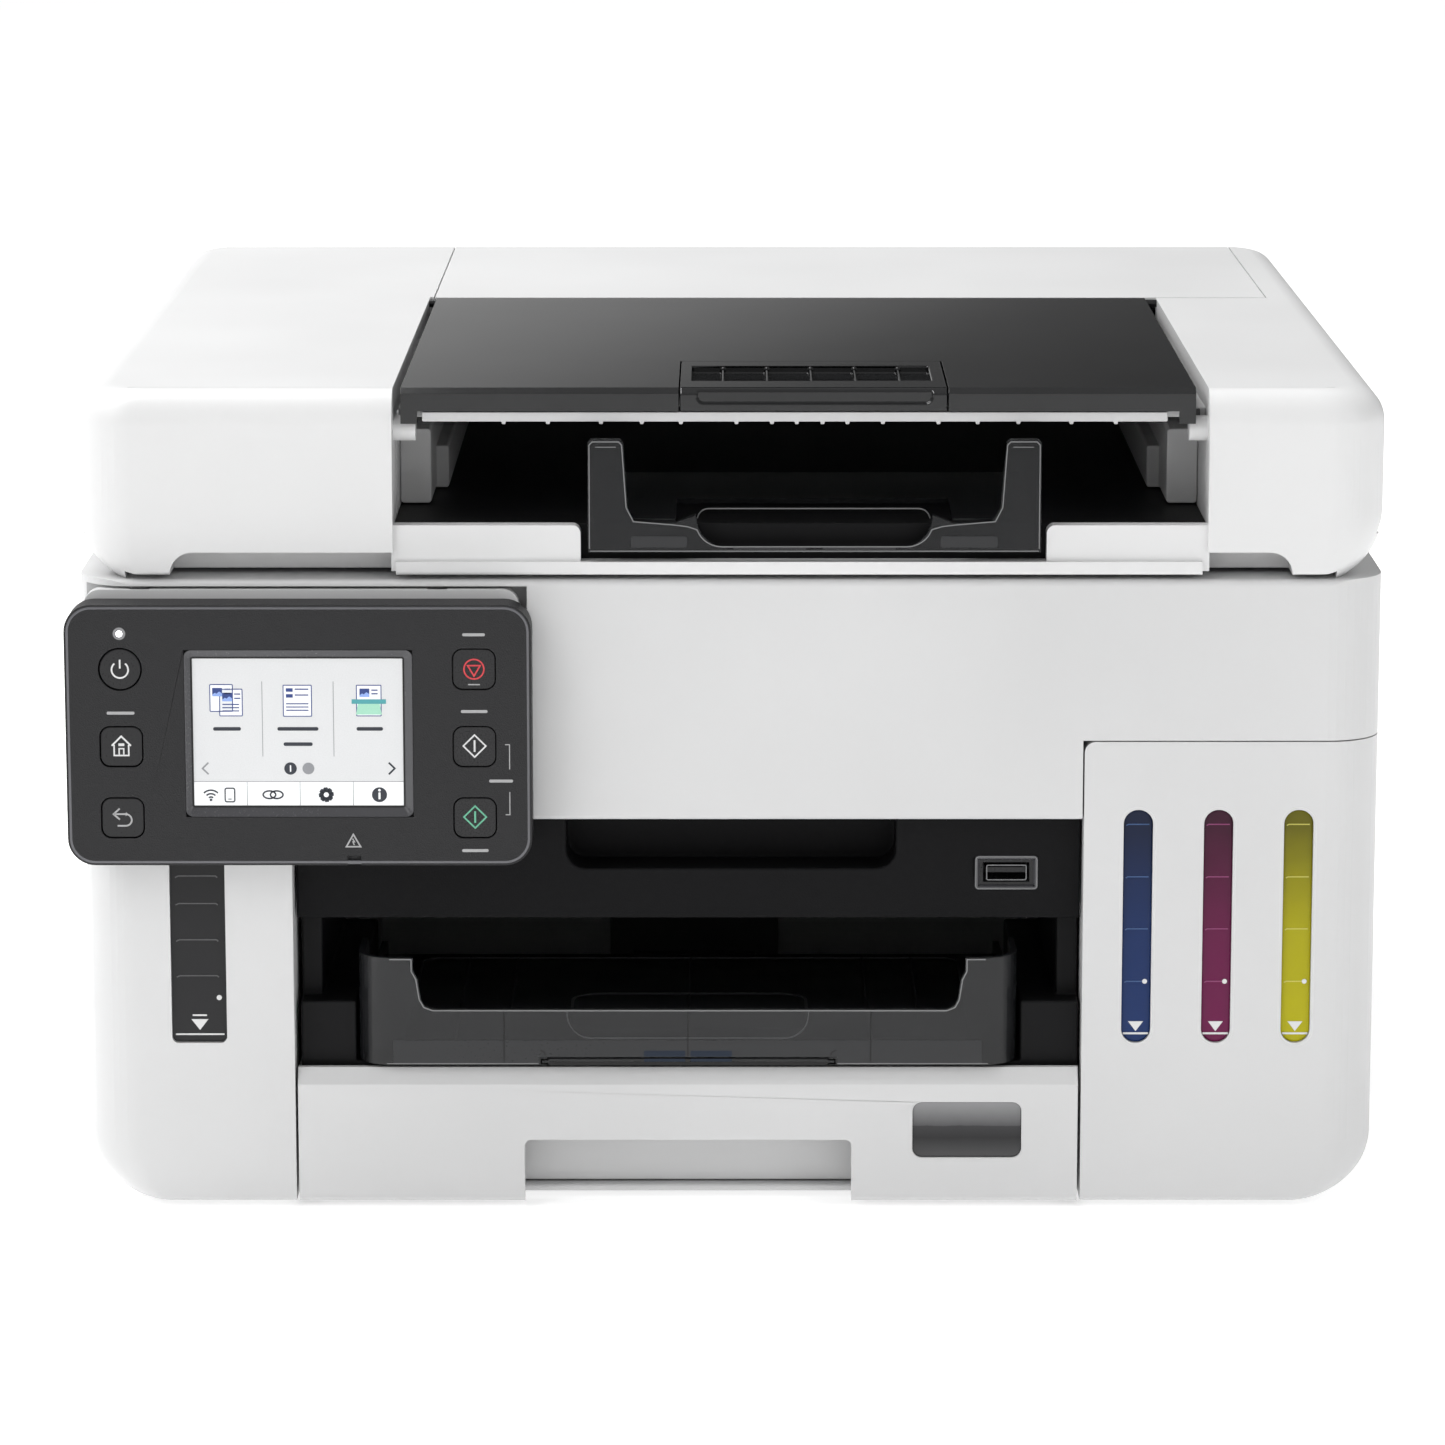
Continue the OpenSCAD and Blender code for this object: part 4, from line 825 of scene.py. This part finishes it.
class PRINTER_OT_shells(bpy.types.Operator):
    """Shells of the case and the document cover, with corners rounded all ways"""

    bl_idname = "printer.shells"
    bl_label = "Shells"

    def execute(self, context):
        cover = copy_of("cover_frame", "cover_shell")
        low, high = FRAME_LOW[2], FRAME_HIGH[2]
        back_corners(cover, (FRONT, LID_REAR), low + 0.6, low + CORNER_BLOCK)
        back_corners(cover, (FRONT, LID_REAR), high - CORNER_BLOCK, high - 0.6)
        mass = rounded_mass("mass", (LEFT, FRONT, low - 0.01), (RIGHT, LID_REAR, high - 0.02), (21.0, 1.0),
                            (10.5, 8.5))
        combine(mass, frame_keep(), "UNION")
        combine(cover, mass, "INTERSECT")
        soften_edges(place(cover, "cover_white", "document_cover", "cover_plastic", "cover_frame"))
        for node, name in (("left_case", "left_case_shell"), ("right_case", "right_case_shell")):
            case = copy_of(node, name)
            back_corners(case, (FRONT, REAR), UNDER + 0.6, UNDER + CORNER_BLOCK,
                         (node == "left_case", node == "right_case"))
            mass = rounded_mass("mass", (LEFT, FRONT, UNDER), (RIGHT, REAR, BASE_TOP + 20), (19.0, 1.2),
                                (0.5, 0.5))
            combine(case, mass, "INTERSECT")
            soften_edges(place(case, "case_white", "base", "white_plastic", node))
        return {"FINISHED"}


CORNER_BLOCK = 15


def back_corners(shell, ends, z0, z1, sides=(True, True)):
    """Thickens the inside of a shell's corners, where the rounding comes close to its inner face."""
    side = CORNER_BLOCK - 1
    for x, out, wanted in ((LEFT, 1, sides[0]), (RIGHT, -1, sides[1])):
        for y, into in ((ends[0], 1), (ends[1], -1)):
            if wanted:
                u = min(x + out, x + CORNER_BLOCK * out)
                v = min(y + into, y + CORNER_BLOCK * into)
                block = prism("corner", "z", soft(u, v, u + side, v + side, 1, 2), z0, z1)
                combine(shell, block, "UNION")


def frame_keep():
    """The space inside the cover's outline and behind it, with the hinge barrels, that isn't rounded."""
    inset = 24
    shift = 12
    return loft("keep",
                [at("z", soft(LEFT + inset, FRONT + shift, RIGHT - inset, LID_REAR + shift, 0.01, 1), z)
                         for z in (FRAME_LOW[2] - 8, FRAME_HIGH[2] - 10)])


def soften_edges(piece, radius=0.6, angle=34.0):
    """Rounds the sharp edges of a shell and shades it smoothly."""
    piece.data.polygons.foreach_set("use_smooth", [True] * len(piece.data.polygons))
    edge = piece.modifiers.new("Edge", "BEVEL")
    edge.width = radius * MM
    edge.segments = 2
    edge.limit_method = "ANGLE"
    edge.angle_limit = math.radians(angle)
    edge.use_clamp_overlap = True
    normals = piece.modifiers.new("Normals", "WEIGHTED_NORMAL")
    normals.keep_sharp = True
    return piece


class PRINTER_OT_cover_trim(bpy.types.Operator):
    """Painted shade line along the top crease, side walls and steps in painted shade, and catches of the
    document output
    """

    bl_idname = "printer.cover_trim"
    bl_label = "Cover trim"

    def execute(self, context):
        top = FRAME_HIGH[2]
        # A thin darker strip of cover white: painted shade along the crease where the top meets the front
        # rounding.
        crease = Marks("z", top, 1, 0.02)
        crease.fill(soft(LEFT + 16, FRONT + 8.9, -101.2, FRONT + 9.15, 0, 1),
                    soft(145.6, FRONT + 8.9, RIGHT - 16, FRONT + 9.15, 0, 1))
        crease.done("top_crease", "crease_gray", "document_cover", "cover_plastic")
        # The side walls and steps are cover white darkened: painted shade inside the cover's well.
        for side, name in ((-1, "left_ledge"), (1, "right_ledge")):
            outer = -100.8 if side < 0 else 145.2
            inner = outer - side * 9.6
            x0, x1 = min(outer, inner), max(outer, inner)
            ledge = loft(name, [at("y", soft(x0, 213.2, x1, 236.5, 1.2, 4), y) for y in (-150, 33)])
            soften_edges(place(ledge, "well_gray", "document_cover", "cover_plastic"), 0.5)
            x2 = outer - side * 13.5
            step = loft(name + "_step",
                        [at("y", soft(min(outer, x2), 213.2, max(outer, x2), 226.5, 1.0, 4), y)
                                         for y in (-118, 33)])
            soften_edges(place(step, "well_gray", "document_cover", "cover_plastic"), 0.5)
            catch_x = outer - side * 3.2
            profile = [(-178.5, 243.4), (-176.0, 240.6), (-171.0, 240.6), (-168.5, 243.4), (-168.5, 246.6),
                       (-178.5, 246.6)]
            catch = loft(name + "_catch", [at("x", profile, x) for x in (catch_x - 1.4, catch_x + 1.4)])
            soften_edges(place(catch, "stop_smoke", "tray_lid", "smoked_plastic"), 0.3)
        return {"FINISHED"}


class PRINTER_OT_stopper_trim(bpy.types.Operator):
    """Rolled rims and ribs of the document stopper, the rims drawn as painted highlight lines"""

    bl_idname = "printer.stopper_trim"
    bl_label = "Stopper trim"

    def execute(self, context):
        low, high = box_mm("output_stopper")
        face = low[1]
        x0, x1 = low[0], high[0]
        # Painted highlight lines along the stopper's rims.
        rim = Marks("y", face, thick=0.15)
        left = [(x0 + 0.5, 206.0), (x0 + 0.5, 237.6), (x0 + 1.4, 238.6), (x0 + 9.4, 238.6),
                (x0 + 10.3, 237.6),
                (x0 + 11.6, 218.6), (x0 + 13.8, 214.3), (-16.0, 213.3)]
        right = [(x0 + x1 - x, z) for x, z in left[:-1]] + [(69.0, 213.3)]
        rim.line(left, 0.34).line(right, 0.34)
        scoop_x0, scoop_x1, scoop_r = -9.4, 62.2, 8
        scoop = (arc(scoop_x0 + scoop_r, 214.2, scoop_r, 7.6, 180, 270, 10)
                 + arc(scoop_x1 - scoop_r, 214.2, scoop_r, 7.6, 270, 360, 10))
        rim.line([(-16.0, 213.3), (-12.0, 212.8)] + scoop[2:-2] + [(65.0, 212.8), (69.0, 213.3)], 0.34)
        rim.line([(x0 + 0.6, 205.3), (x1 - 0.6, 205.3)], 0.3)
        rim.line([(x0 + 2.4, 237.0), (x0 + 8.6, 237.0)], 0.25).line([(x1 - 8.6, 237.0), (x1 - 2.4, 237.0)],
                                                                    0.25)
        rim.done("stopper_rim", "smoke_edge", "stopper", "smoked_plastic")
        ribs = Marks("y", face, thick=0.08)
        ribs.fill(soft(x0 + 13.0, 206.4, -12.0, 209.8, 0.8, 4), soft(64.5, 206.4, x1 - 13.0, 209.8, 0.8, 4))
        ribs.fill(soft(2.0, 205.7, 24.0, 206.3, 0.2, 2), soft(29.0, 205.7, 51.0, 206.3, 0.2, 2))
        ribs.done("stopper_ribs", "smoke_light", "stopper", "smoked_plastic")
        # Painted highlight line round the grip at the back.
        back = Marks("y", face + 16, thick=0.3)
        back.outline(soft(-9.0, 207.0, 61.8, 215.8, 3.4, 6), 0.4)
        back.done("stopper_grip", "smoke_edge", "stopper", "smoked_plastic")
        return {"FINISHED"}


# ---- Paper trays ----

class PRINTER_OT_tray_trim(bpy.types.Operator):
    """Edge line and scoops of the print tray drawn as painted highlights, its seams, and the frame of the
    cassette window
    """

    bl_idname = "printer.tray_trim"
    bl_label = "Tray trim"

    def execute(self, context):
        low, high = box_mm("output_tray")
        face, floor = low[1], low[2] + 4.4
        x0, x1 = low[0], high[0]
        top = high[2]
        # The tray's edge line is a painted highlight.
        rim = Marks("y", face, thick=0.12)
        rim.line([(x0 + 10, top - 0.5), (x0 + 16.7, top - 0.5), (x0 + 16.7, 75.0), (x0 + 18.1, 72.4),
                  (x0 + 19.1, 66.0), (x0 + 20.5, 63.6), (x0 + 23.2, 62.6), (67.4, 62.6), (69.9, 63.6),
                  (71.2, 66.0), (72.2, 72.4), (73.5, 75.0), (73.5, top - 0.5), (x1 - 10, top - 0.5)], 0.4)
        slot_x0, slot_x1, slot_top = -57.8, 33.9, 48.1
        rim.line([(x0 + 9, 45.9), (slot_x0, 45.9)], 0.3).line([(slot_x1, 45.9), (x1 - 9, 45.9)], 0.3)
        rim.done("tray_rim", "smoke_edge", "print_tray", "smoked_plastic")
        # Dim painted highlight along the front scoop.
        scoop = Marks("y", face, thick=0.09)
        scoop_x0, scoop_x1, scoop_r = -49, 25, 7
        bow = (arc(scoop_x0 + scoop_r, 61.4, scoop_r, 7.4, 180, 270, 8)
               + arc(scoop_x1 - scoop_r, 61.4, scoop_r, 7.4, 270, 360, 8))
        scoop.line([(scoop_x0, 62.4)] + bow + [(scoop_x1, 62.4)], 0.35)
        scoop.done("tray_front_scoop", "smoke_edge_dim", "print_tray", "smoked_plastic")
        band = Marks("y", face, thick=0.05)
        band.fill(soft(x0 + 11.0, 45.6, slot_x0, 53.2, 0.1, 1), soft(slot_x1, 45.6, x1 - 11.0, 53.2, 0.1, 1),
                  soft(slot_x0, slot_top, slot_x1, 53.2, 0.1, 1))
        band.done("tray_low_band", "smoke_light", "print_tray", "smoked_plastic")
        seams = Marks("y", face, thick=0.1)
        for x, z in ((-68.4, 46.0), (-12.0, slot_top), (44.1, 46.0)):
            seams.fill(soft(x - 0.22, z, x + 0.22, 62.4, 0, 1))
        seams.done("tray_front_seams", "groove_black", "print_tray", "smoked_plastic")
        inner = Marks("z", floor, 1, 0.15)
        for x in (-84.0, -68.4, -12.0, 44.1, 60.0):
            inner.fill(soft(x - 0.3, face + 3, x + 0.3, high[1] - 2, 0, 1))
        inner.done("tray_floor_seams", "groove_black", "print_tray", "smoked_plastic")
        # Dim painted highlights round the scoops in the tray floor.
        grip = Marks("z", floor, 1, 0.3)
        grip.outline(soft(scoop_x0, face + 28, scoop_x1, face + 74, 9), 0.9)
        grip.outline(soft(x0 + 14, face + 6, x1 - 14, high[1] - 6, 6), 0.6)
        grip.done("tray_floor_scoop", "smoke_edge_dim", "print_tray", "smoked_plastic")
        tab = Marks("y", face, thick=0.14).fill(soft(-54.6, 45.45, 30.7, 46.4, 0.2, 2))
        tab.done("extension_edge", "groove_black", "print_extension", "smoked_plastic")
        nooks = Marks("y", face, thick=0.14)
        nooks.line([(-57.4, 50.2), (-56.1, 49.5), (-55.7, 48.5)], 0.4)
        nooks.line([(31.8, 48.5), (32.2, 49.5), (33.5, 50.2)], 0.4)
        nooks.done("tray_slot_nooks", "groove_black", "print_tray", "smoked_plastic")
        # Faint dark blue patches on the smoked front of the tray and its extension.
        for name, body, z0, z1 in (("tray_blue_patch", "print_tray", slot_top, 50.0),
                                   ("extension_blue_patch", "print_extension", 46.5, 47.4)):
            tint = Marks("y", face, thick=0.07)
            tint.fill(soft(-25.5, z0, -12.8, z1, 0.3, 2), soft(-11.2, z0, 1.5, z1, 0.3, 2))
            tint.done(name, "patch_blue", body, "smoked_plastic")

        win_low, win_high = box_mm("cassette_window")
        x0, z0, x1, z1 = win_low[0], win_low[2], win_high[0], win_high[2]
        hole = soft(x0 + 0.05, z0 + 0.05, x1 - 0.05, z1 - 0.05, 3)
        # The pane's material paints light at its top and shade lower down.
        pane = loft("cassette_pane", [at("y", hole, FRONT + 2.6), at("y", hole, FRONT + 1.1),
                                      at("y", grow(hole, -0.5), FRONT + 0.8)])
        smooth(place(pane, "pane_gradient", "paper_cassette", "smoked_plastic", "cassette_window"))
        # The lip is case white made lighter: painted highlight round the cassette window.
        rings = [at("y", grow(hole, 0.9), FRONT - 0.02), at("y", grow(hole, 1.0), FRONT + 0.1),
                 at("y", grow(hole, -0.02), FRONT + 0.9), at("y", grow(hole, -0.05), FRONT + 0.25)]
        ring_piece("cassette_window_lip", rings, "lip_white", "paper_cassette", "white_plastic")
        return {"FINISHED"}


class PRINTER_OT_usb_trim(bpy.types.Operator):
    """Bevelled frame of the USB socket, with painted highlights on the frame and along its edges"""

    bl_idname = "printer.usb_trim"
    bl_label = "USB trim"

    def execute(self, context):
        face = box_mm("front_bezel")[0][1]
        outer = soft(76.4, 99.3, 94.9, 109.1, 0.8, 4)
        rings = [at("y", grow(outer, 0.5), face - 0.02), at("y", grow(outer, 0.35), face - 0.35),
                 at("y", grow(outer, -0.5), face - 0.3), at("y", grow(outer, -1.7), face + 1.8),
                 at("y", grow(outer, -1.7), face + 2.2), at("y", grow(outer, 0.3), face + 0.3)]
        # Lighter black: painted highlight on the socket's bevelled frame.
        ring_piece("usb_frame", rings, "bevel_gloss", "base", "black_plastic")
        # Painted highlight lines along the socket's edges.
        edge = Marks("y", face - 0.33, thick=0.08).outline(grow(outer, 0.1), 0.3)
        edge.outline(soft(79.6, 102.0, 91.7, 106.6, 0.5, 3), 0.3)
        edge.done("usb_edge", "smoke_edge", "base", "black_plastic")
        return {"FINISHED"}


# ---- Back, underside and fasteners ----

def screw(bm, axis, u, v, face, out, radius=3.0):
    """Pan-head screw with a cross recess, standing on a face."""
    head = [(radius, 0.0), (radius, 0.5), (radius * 0.86, 1.0), (radius * 0.5, 1.3)]
    add_loft(bm, [at(axis, disc(u, v, r, 24), face + out * d) for r, d in head])
    cross = [(0.35, 1.6), (0.35, 0.35), (1.6, 0.35), (1.6, -0.35), (0.35, -0.35), (0.35, -1.6), (-0.35, -1.6),
             (-0.35, -0.35), (-1.6, -0.35), (-1.6, 0.35), (-0.35, 0.35), (-0.35, 1.6)]
    return [at(axis, [(u + x, v + y) for x, y in cross], face + out * d) for d in (1.28, 1.36)]


class PRINTER_OT_back_details(bpy.types.Operator):
    """Screws and vents at the back, the grip of the jam cover and the rim of the power inlet"""

    bl_idname = "printer.back_details"
    bl_label = "Back details"

    def execute(self, context):
        bm = bmesh.new()
        crosses = []
        for u, v in ((-176, 122), (-176, 62), (176, 122), (176, 40), (-124, 20), (102, 20), (-124, 128),
                     (102, 128)):
            crosses.append(screw(bm, "y", u, v, REAR - 0.1, 1))
        place(new_piece("back_screws", bm), "steel", "base", "steel_sheet")
        # The dark crosses are painted shade in the screws' recesses.
        bm = bmesh.new()
        for rings in crosses:
            add_loft(bm, rings)
        place(new_piece("back_screw_recesses", bm), "groove_black", "base", "steel_sheet")
        # The dark slots are painted shade in the vent openings; their rims are case white.
        vents = Marks("y", REAR, 1, 0.06)
        rims = Marks("y", REAR, 1, 0.35)
        pitch, slot_h, lip = 6.5, 2.6, 0.3
        for x0, x1, bottom, rows in ((122, 158, 62, 7), (-182, -150, 78, 5)):
            for row in range(rows):
                z = bottom + row * pitch
                vents.fill(soft(x0, z, x1, z + slot_h, 1.25, 4))
                rims.outline(soft(x0 - lip, z - lip, x1 + lip, z + slot_h + lip, 1.5, 4), 0.5)
        vents.done("back_vents", "groove_black", "base", "black_plastic")
        smooth(rims.done("back_vent_rims", "case_white", "base", "white_plastic"))
        jam_low, jam_high = box_mm("rear_cover")
        face = jam_high[1]
        mid = (jam_low[0] + jam_high[0]) / 2
        top = jam_high[2]
        grip = soft(mid - 22, top - 17, mid + 22, top - 5, 5)
        rings = [at("y", grow(grip, 1.2), face - 0.05), at("y", grow(grip, 1.0), face + 0.5),
                 at("y", grow(grip, -0.6), face + 0.5), at("y", grow(grip, -1.4), face - 0.05)]
        ring_piece("jam_cover_grip", rings, "case_white", "jam_cover", "white_plastic")
        # The hollow is a flat patch of darker white: painted shade in the grip's recess.
        hollow = Marks("y", face, 1, 0.04).fill(grow(grip, -1.3))
        hollow.done("jam_cover_hollow", "well_gray", "jam_cover", "white_plastic")
        ribs = Marks("y", face, 1, 0.5)
        for x in range(-4, 5):
            ribs.fill(soft(mid + x * 4 - 0.4, top - 14.5, mid + x * 4 + 0.4, top - 7.5, 0.3, 2))
        ribs.done("jam_cover_ribs", "case_white", "jam_cover", "white_plastic")
        low, high = box_mm("power_inlet")
        rim = soft(low[0] - 1.5, low[2] - 1.5, high[0] + 1.5, high[2] + 1.5, 2.0, 5)
        ring_piece("inlet_rim", [at("y", rim, REAR - 0.05), at("y", grow(rim, -0.3), REAR + 0.5),
                                 at("y", grow(rim, -1.5), REAR + 0.5), at("y", grow(rim, -1.8), REAR - 0.05)],
                   "case_white", "base", "white_plastic")
        return {"FINISHED"}


class PRINTER_OT_underside(bpy.types.Operator):
    """Ribs and screws under the base"""

    bl_idname = "printer.underside"
    bl_label = "Underside"

    def execute(self, context):
        bm = bmesh.new()
        for x in (-150, -120, 128, 158):
            for y in (-120, -40, 40, 120):
                rings = [at("z", soft(x - 9, y - 26, x + 9, y + 26, 3, 4), UNDER + 0.05),
                         at("z", soft(x - 8.6, y - 25.6, x + 8.6, y + 25.6, 3, 4), UNDER - 0.55)]
                add_loft(bm, rings)
        soften_edges(place(new_piece("base_ribs", bm), "case_white", "base", "white_plastic"), 0.25)
        bm = bmesh.new()
        for x in (-135, 143):
            for y in (-80, 80):
                screw(bm, "z", x, y, UNDER + 0.1, -1, 2.6)
        place(new_piece("base_screws", bm), "steel", "base", "steel_sheet")
        return {"FINISHED"}


# ---- Finishes of the carried-over pieces ----

def soften(piece, radius=None, angle=32.0, merge_flats=True):
    """Rounds the edges of a moulding and shades it smoothly. Its flat faces are made whole if wanted."""
    weld = piece.modifiers.new("Weld", "WELD")
    weld.merge_threshold = 0.00002
    if merge_flats:
        flat = piece.modifiers.new("Flat", "DECIMATE")
        flat.decimate_type = "DISSOLVE"
        flat.angle_limit = math.radians(0.6)
    edge = piece.modifiers.new("Edge", "BEVEL")
    edge.width = (radius or sizes().edge) * MM
    edge.segments = 3
    edge.limit_method = "ANGLE"
    edge.angle_limit = math.radians(angle)
    edge.use_clamp_overlap = True
    edge.miter_outer = "MITER_ARC"
    normals = piece.modifiers.new("Normals", "WEIGHTED_NORMAL")
    normals.keep_sharp = True


POCKETED = ("base_frame", "cassette", "platen")  # merging their pierced floors into one face folds it


def dress(finish, *nodes, radius=None):
    """Gives carried-over nodes their finish and soft edges."""
    for name in nodes:
        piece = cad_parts[name]
        piece.data.materials.clear()
        piece.data.materials.append(MATERIALS[finish])
        if radius != 0:
            soften(piece, radius, merge_flats=name not in POCKETED)


class PRINTER_OT_finishes(bpy.types.Operator):
    """Dress the pieces that keep the shape of the frame"""

    bl_idname = "printer.finishes"
    bl_label = "Finishes"

    def execute(self, context):
        build_materials()
        dress("case_white", "rear_case", "scanner_case", "panel_housing", "rear_cover", "cassette")
        dress("cover_white", "feeder_cover")
        dress("well_gray", "input_deck", radius=0.3)
        dress("bezel_black", "front_bezel")
        dress("slot_black", "slot_surround", "feet")
        dress("case_white", "base_frame")
        dress("floor_black", "output_floor", radius=0.3)
        dress("panel_black", "operation_panel", radius=0.5)
        dress("key_black", "power_button", "home_button", "back_button", "stop_button", "black_start_button",
              "color_start_button", radius=0.5)
        dress("key_black", "usb_port", radius=0.2)
        dress("steel", "guide_shaft", "scan_rail", "print_chassis", radius=0.2)
        dress("tray_smoke", "tray_cover", "tray_extension")
        dress("stop_smoke", "output_stopper")
        dress("sheet_smoke", "output_tray", "output_extension")
        dress("lcd_light", "lcd", radius=0)
        dress("tank_clear", "black_tank", "color_tanks", "ink_tubes", radius=0.3)
        dress("ink_cyan", "inks", radius=0.3)
        dress("glass", "scan_glass", radius=0)
        dress("rubber", "feed_roller", "eject_roller", "pickup_roller", "adf_pickup_roller",
              "adf_feed_roller",
              "drive_belt", "tank_caps", radius=0)
        dress("gray_plastic", "print_carriage", "maintenance_cartridge", "scan_bar", "platen", "belt_pulley",
              "paper_guide_left", "paper_guide_right", "paper_end_guide", "document_guide_left",
              "document_guide_right", "power_inlet", radius=0.3)
        dress("steel", "power_supply", "carriage_motor", radius=0.3)
        dress("board_green", "main_board", radius=0)
        dress("pad_white", "pressing_pad", radius=0.5)
        return {"FINISHED"}


# ---- Floor, light and camera ----

STUDIO_R = 9000.0
SKY_GLOW = 0.56
FLOOR_GLOW = 0.47
BACKDROP_GLOW = 1.05
PITCH_DOWN = 11.13


def soft_light(name, place, size, power, aim=(0.0, 0.0, 0.12)):
    lamp = bpy.data.lights.new(name, "AREA")
    lamp.shape = "RECTANGLE"
    lamp.size, lamp.size_y = size
    lamp.energy = power
    holder = bpy.data.objects.new(name, lamp)
    holder.location = place
    holder.rotation_euler = (Vector(aim) - Vector(place)).to_track_quat("-Z", "Y").to_euler()
    bpy.context.scene.collection.objects.link(holder)


def glowing(name, color, strength):
    """Matt surface of the studio that shines a little."""
    finish = Finish(name, roughness=0.9, specular_ior_level=0.0, emission_color=(1.0, 1.0, 1.0),
                    emission_strength=strength)
    finish.set("base_color", finish.ramp(finish.noise(3.0), [(0.3, color), (0.7, shade(color, 1.01))]))
    return finish.material


def gradient_card():
    """Studio card that glossy lids reflect: light at the lower left, dark at the upper right."""
    finish = Finish("card", roughness=0.9, specular_ior_level=0.0, base_color=(0.0, 0.0, 0.0),
                    emission_strength=1.0)
    spot = finish.place()
    across = finish.node("ShaderNodeSeparateXYZ", {}, spot, output="X")
    height = finish.node("ShaderNodeSeparateXYZ", {}, spot, output="Z")
    fade = 0.45 - 0.9 * across - 2.4 * (height - 0.42)
    finish.set("emission_color", finish.ramp(fade, [(0.0, (0.03, 0.03, 0.03)), (0.35, (0.10, 0.10, 0.10)),
                                                    (1.0, (0.85, 0.85, 0.85))]))
    return finish.material


class PRINTER_OT_stage(bpy.types.Operator):
    """Set the floor, the soft studio light and the camera"""

    bl_idname = "printer.stage"
    bl_label = "Stage"

    def execute(self, context):
        scene = context.scene
        scene.view_settings.view_transform = "Standard"
        world = bpy.data.worlds.new("Studio")
        world.use_nodes = True
        world.node_tree.nodes["Background"].inputs["Color"].default_value = (1.0, 1.0, 1.0, 1.0)
        world.node_tree.nodes["Background"].inputs["Strength"].default_value = SKY_GLOW
        scene.world = world
        floor = loft("Floor",
                     [at("z", disc(0, 0, STUDIO_R, 96), -6.0), at("z", disc(0, 0, STUDIO_R, 96), -0.02)])
        floor.data.materials.append(glowing("floor", (0.9, 0.9, 0.9), FLOOR_GLOW))
        dome = loft("Backdrop", [at("z", disc(0, 0, STUDIO_R * math.cos(t), 64), STUDIO_R * math.sin(t) - 20)
                                 for t in [math.radians(5 * i) for i in range(18)]])
        dome.data.materials.append(glowing("backdrop", (0.0, 0.0, 0.0), BACKDROP_GLOW))
        for ray in ("diffuse", "glossy", "shadow", "transmission"):
            setattr(dome, "visible_" + ray, False)
        soft_light("Key", (-1.7, -1.5, 1.7), (0.9, 1.8), 14.0)
        soft_light("Fill", (1.9, -1.7, 1.2), (0.7, 1.6), 8.0)
        soft_light("Top", (-0.9, 0.2, 2.1), (1.6, 1.4), 50.0)
        card = loft("Card", [at("y", soft(-1400, 0, 1400, 1500, 20), y) for y in (1195, 1200)])
        card.data.materials.append(gradient_card())
        for ray in ("camera", "diffuse", "shadow", "transmission"):
            setattr(card, "visible_" + ray, False)
        camera = bpy.data.cameras.new("Camera")
        camera.lens = 144.85
        camera.sensor_width = 36.0
        camera.shift_x = -0.0059
        camera.clip_end = 60.0
        holder = bpy.data.objects.new("Camera", camera)
        holder.location = (0.00125, -1.925, 0.4934)
        holder.rotation_euler = (math.radians(90 - PITCH_DOWN), 0.0, 0.0)
        scene.collection.objects.link(holder)
        scene.camera = holder
        return {"FINISHED"}


# ---- Panel in the sidebar, registration and the build ----

class PRINTER_PT_panel(bpy.types.Panel):
    """Buttons that build the printer, in order"""

    bl_idname = "PRINTER_PT_panel"
    bl_label = "Ink tank printer"
    bl_space_type = "VIEW_3D"
    bl_region_type = "UI"
    bl_category = "Printer"

    def draw(self, context):
        for group in (context.scene.printer_sizes, context.scene.printer_colors):
            for name in group.bl_rna.properties.keys():
                if name not in ("rna_type", "name"):
                    self.layout.prop(group, name)
        for step in STEPS:
            self.layout.operator(step.bl_idname)


STEPS = (
    PRINTER_OT_finishes,
    PRINTER_OT_panel_trim,
    PRINTER_OT_screen,
    PRINTER_OT_ink_windows,
    PRINTER_OT_shells,
    PRINTER_OT_cover_trim,
    PRINTER_OT_stopper_trim,
    PRINTER_OT_tray_trim,
    PRINTER_OT_usb_trim,
    PRINTER_OT_back_details,
    PRINTER_OT_underside,
    PRINTER_OT_stage,
)
CLASSES = (PrinterSizes, PrinterColors, *STEPS, PRINTER_PT_panel)


def register():
    for kind in CLASSES:
        bpy.utils.register_class(kind)
    bpy.types.Scene.printer_sizes = bpy.props.PointerProperty(type=PrinterSizes)
    bpy.types.Scene.printer_colors = bpy.props.PointerProperty(type=PrinterColors)


def unregister():
    del bpy.types.Scene.printer_colors
    del bpy.types.Scene.printer_sizes
    for kind in reversed(CLASSES):
        bpy.utils.unregister_class(kind)


def main():
    register()
    for step in STEPS:
        group, operator = step.bl_idname.split(".")
        getattr(getattr(bpy.ops, group), operator)()


if __name__ == "__main__":
    main()
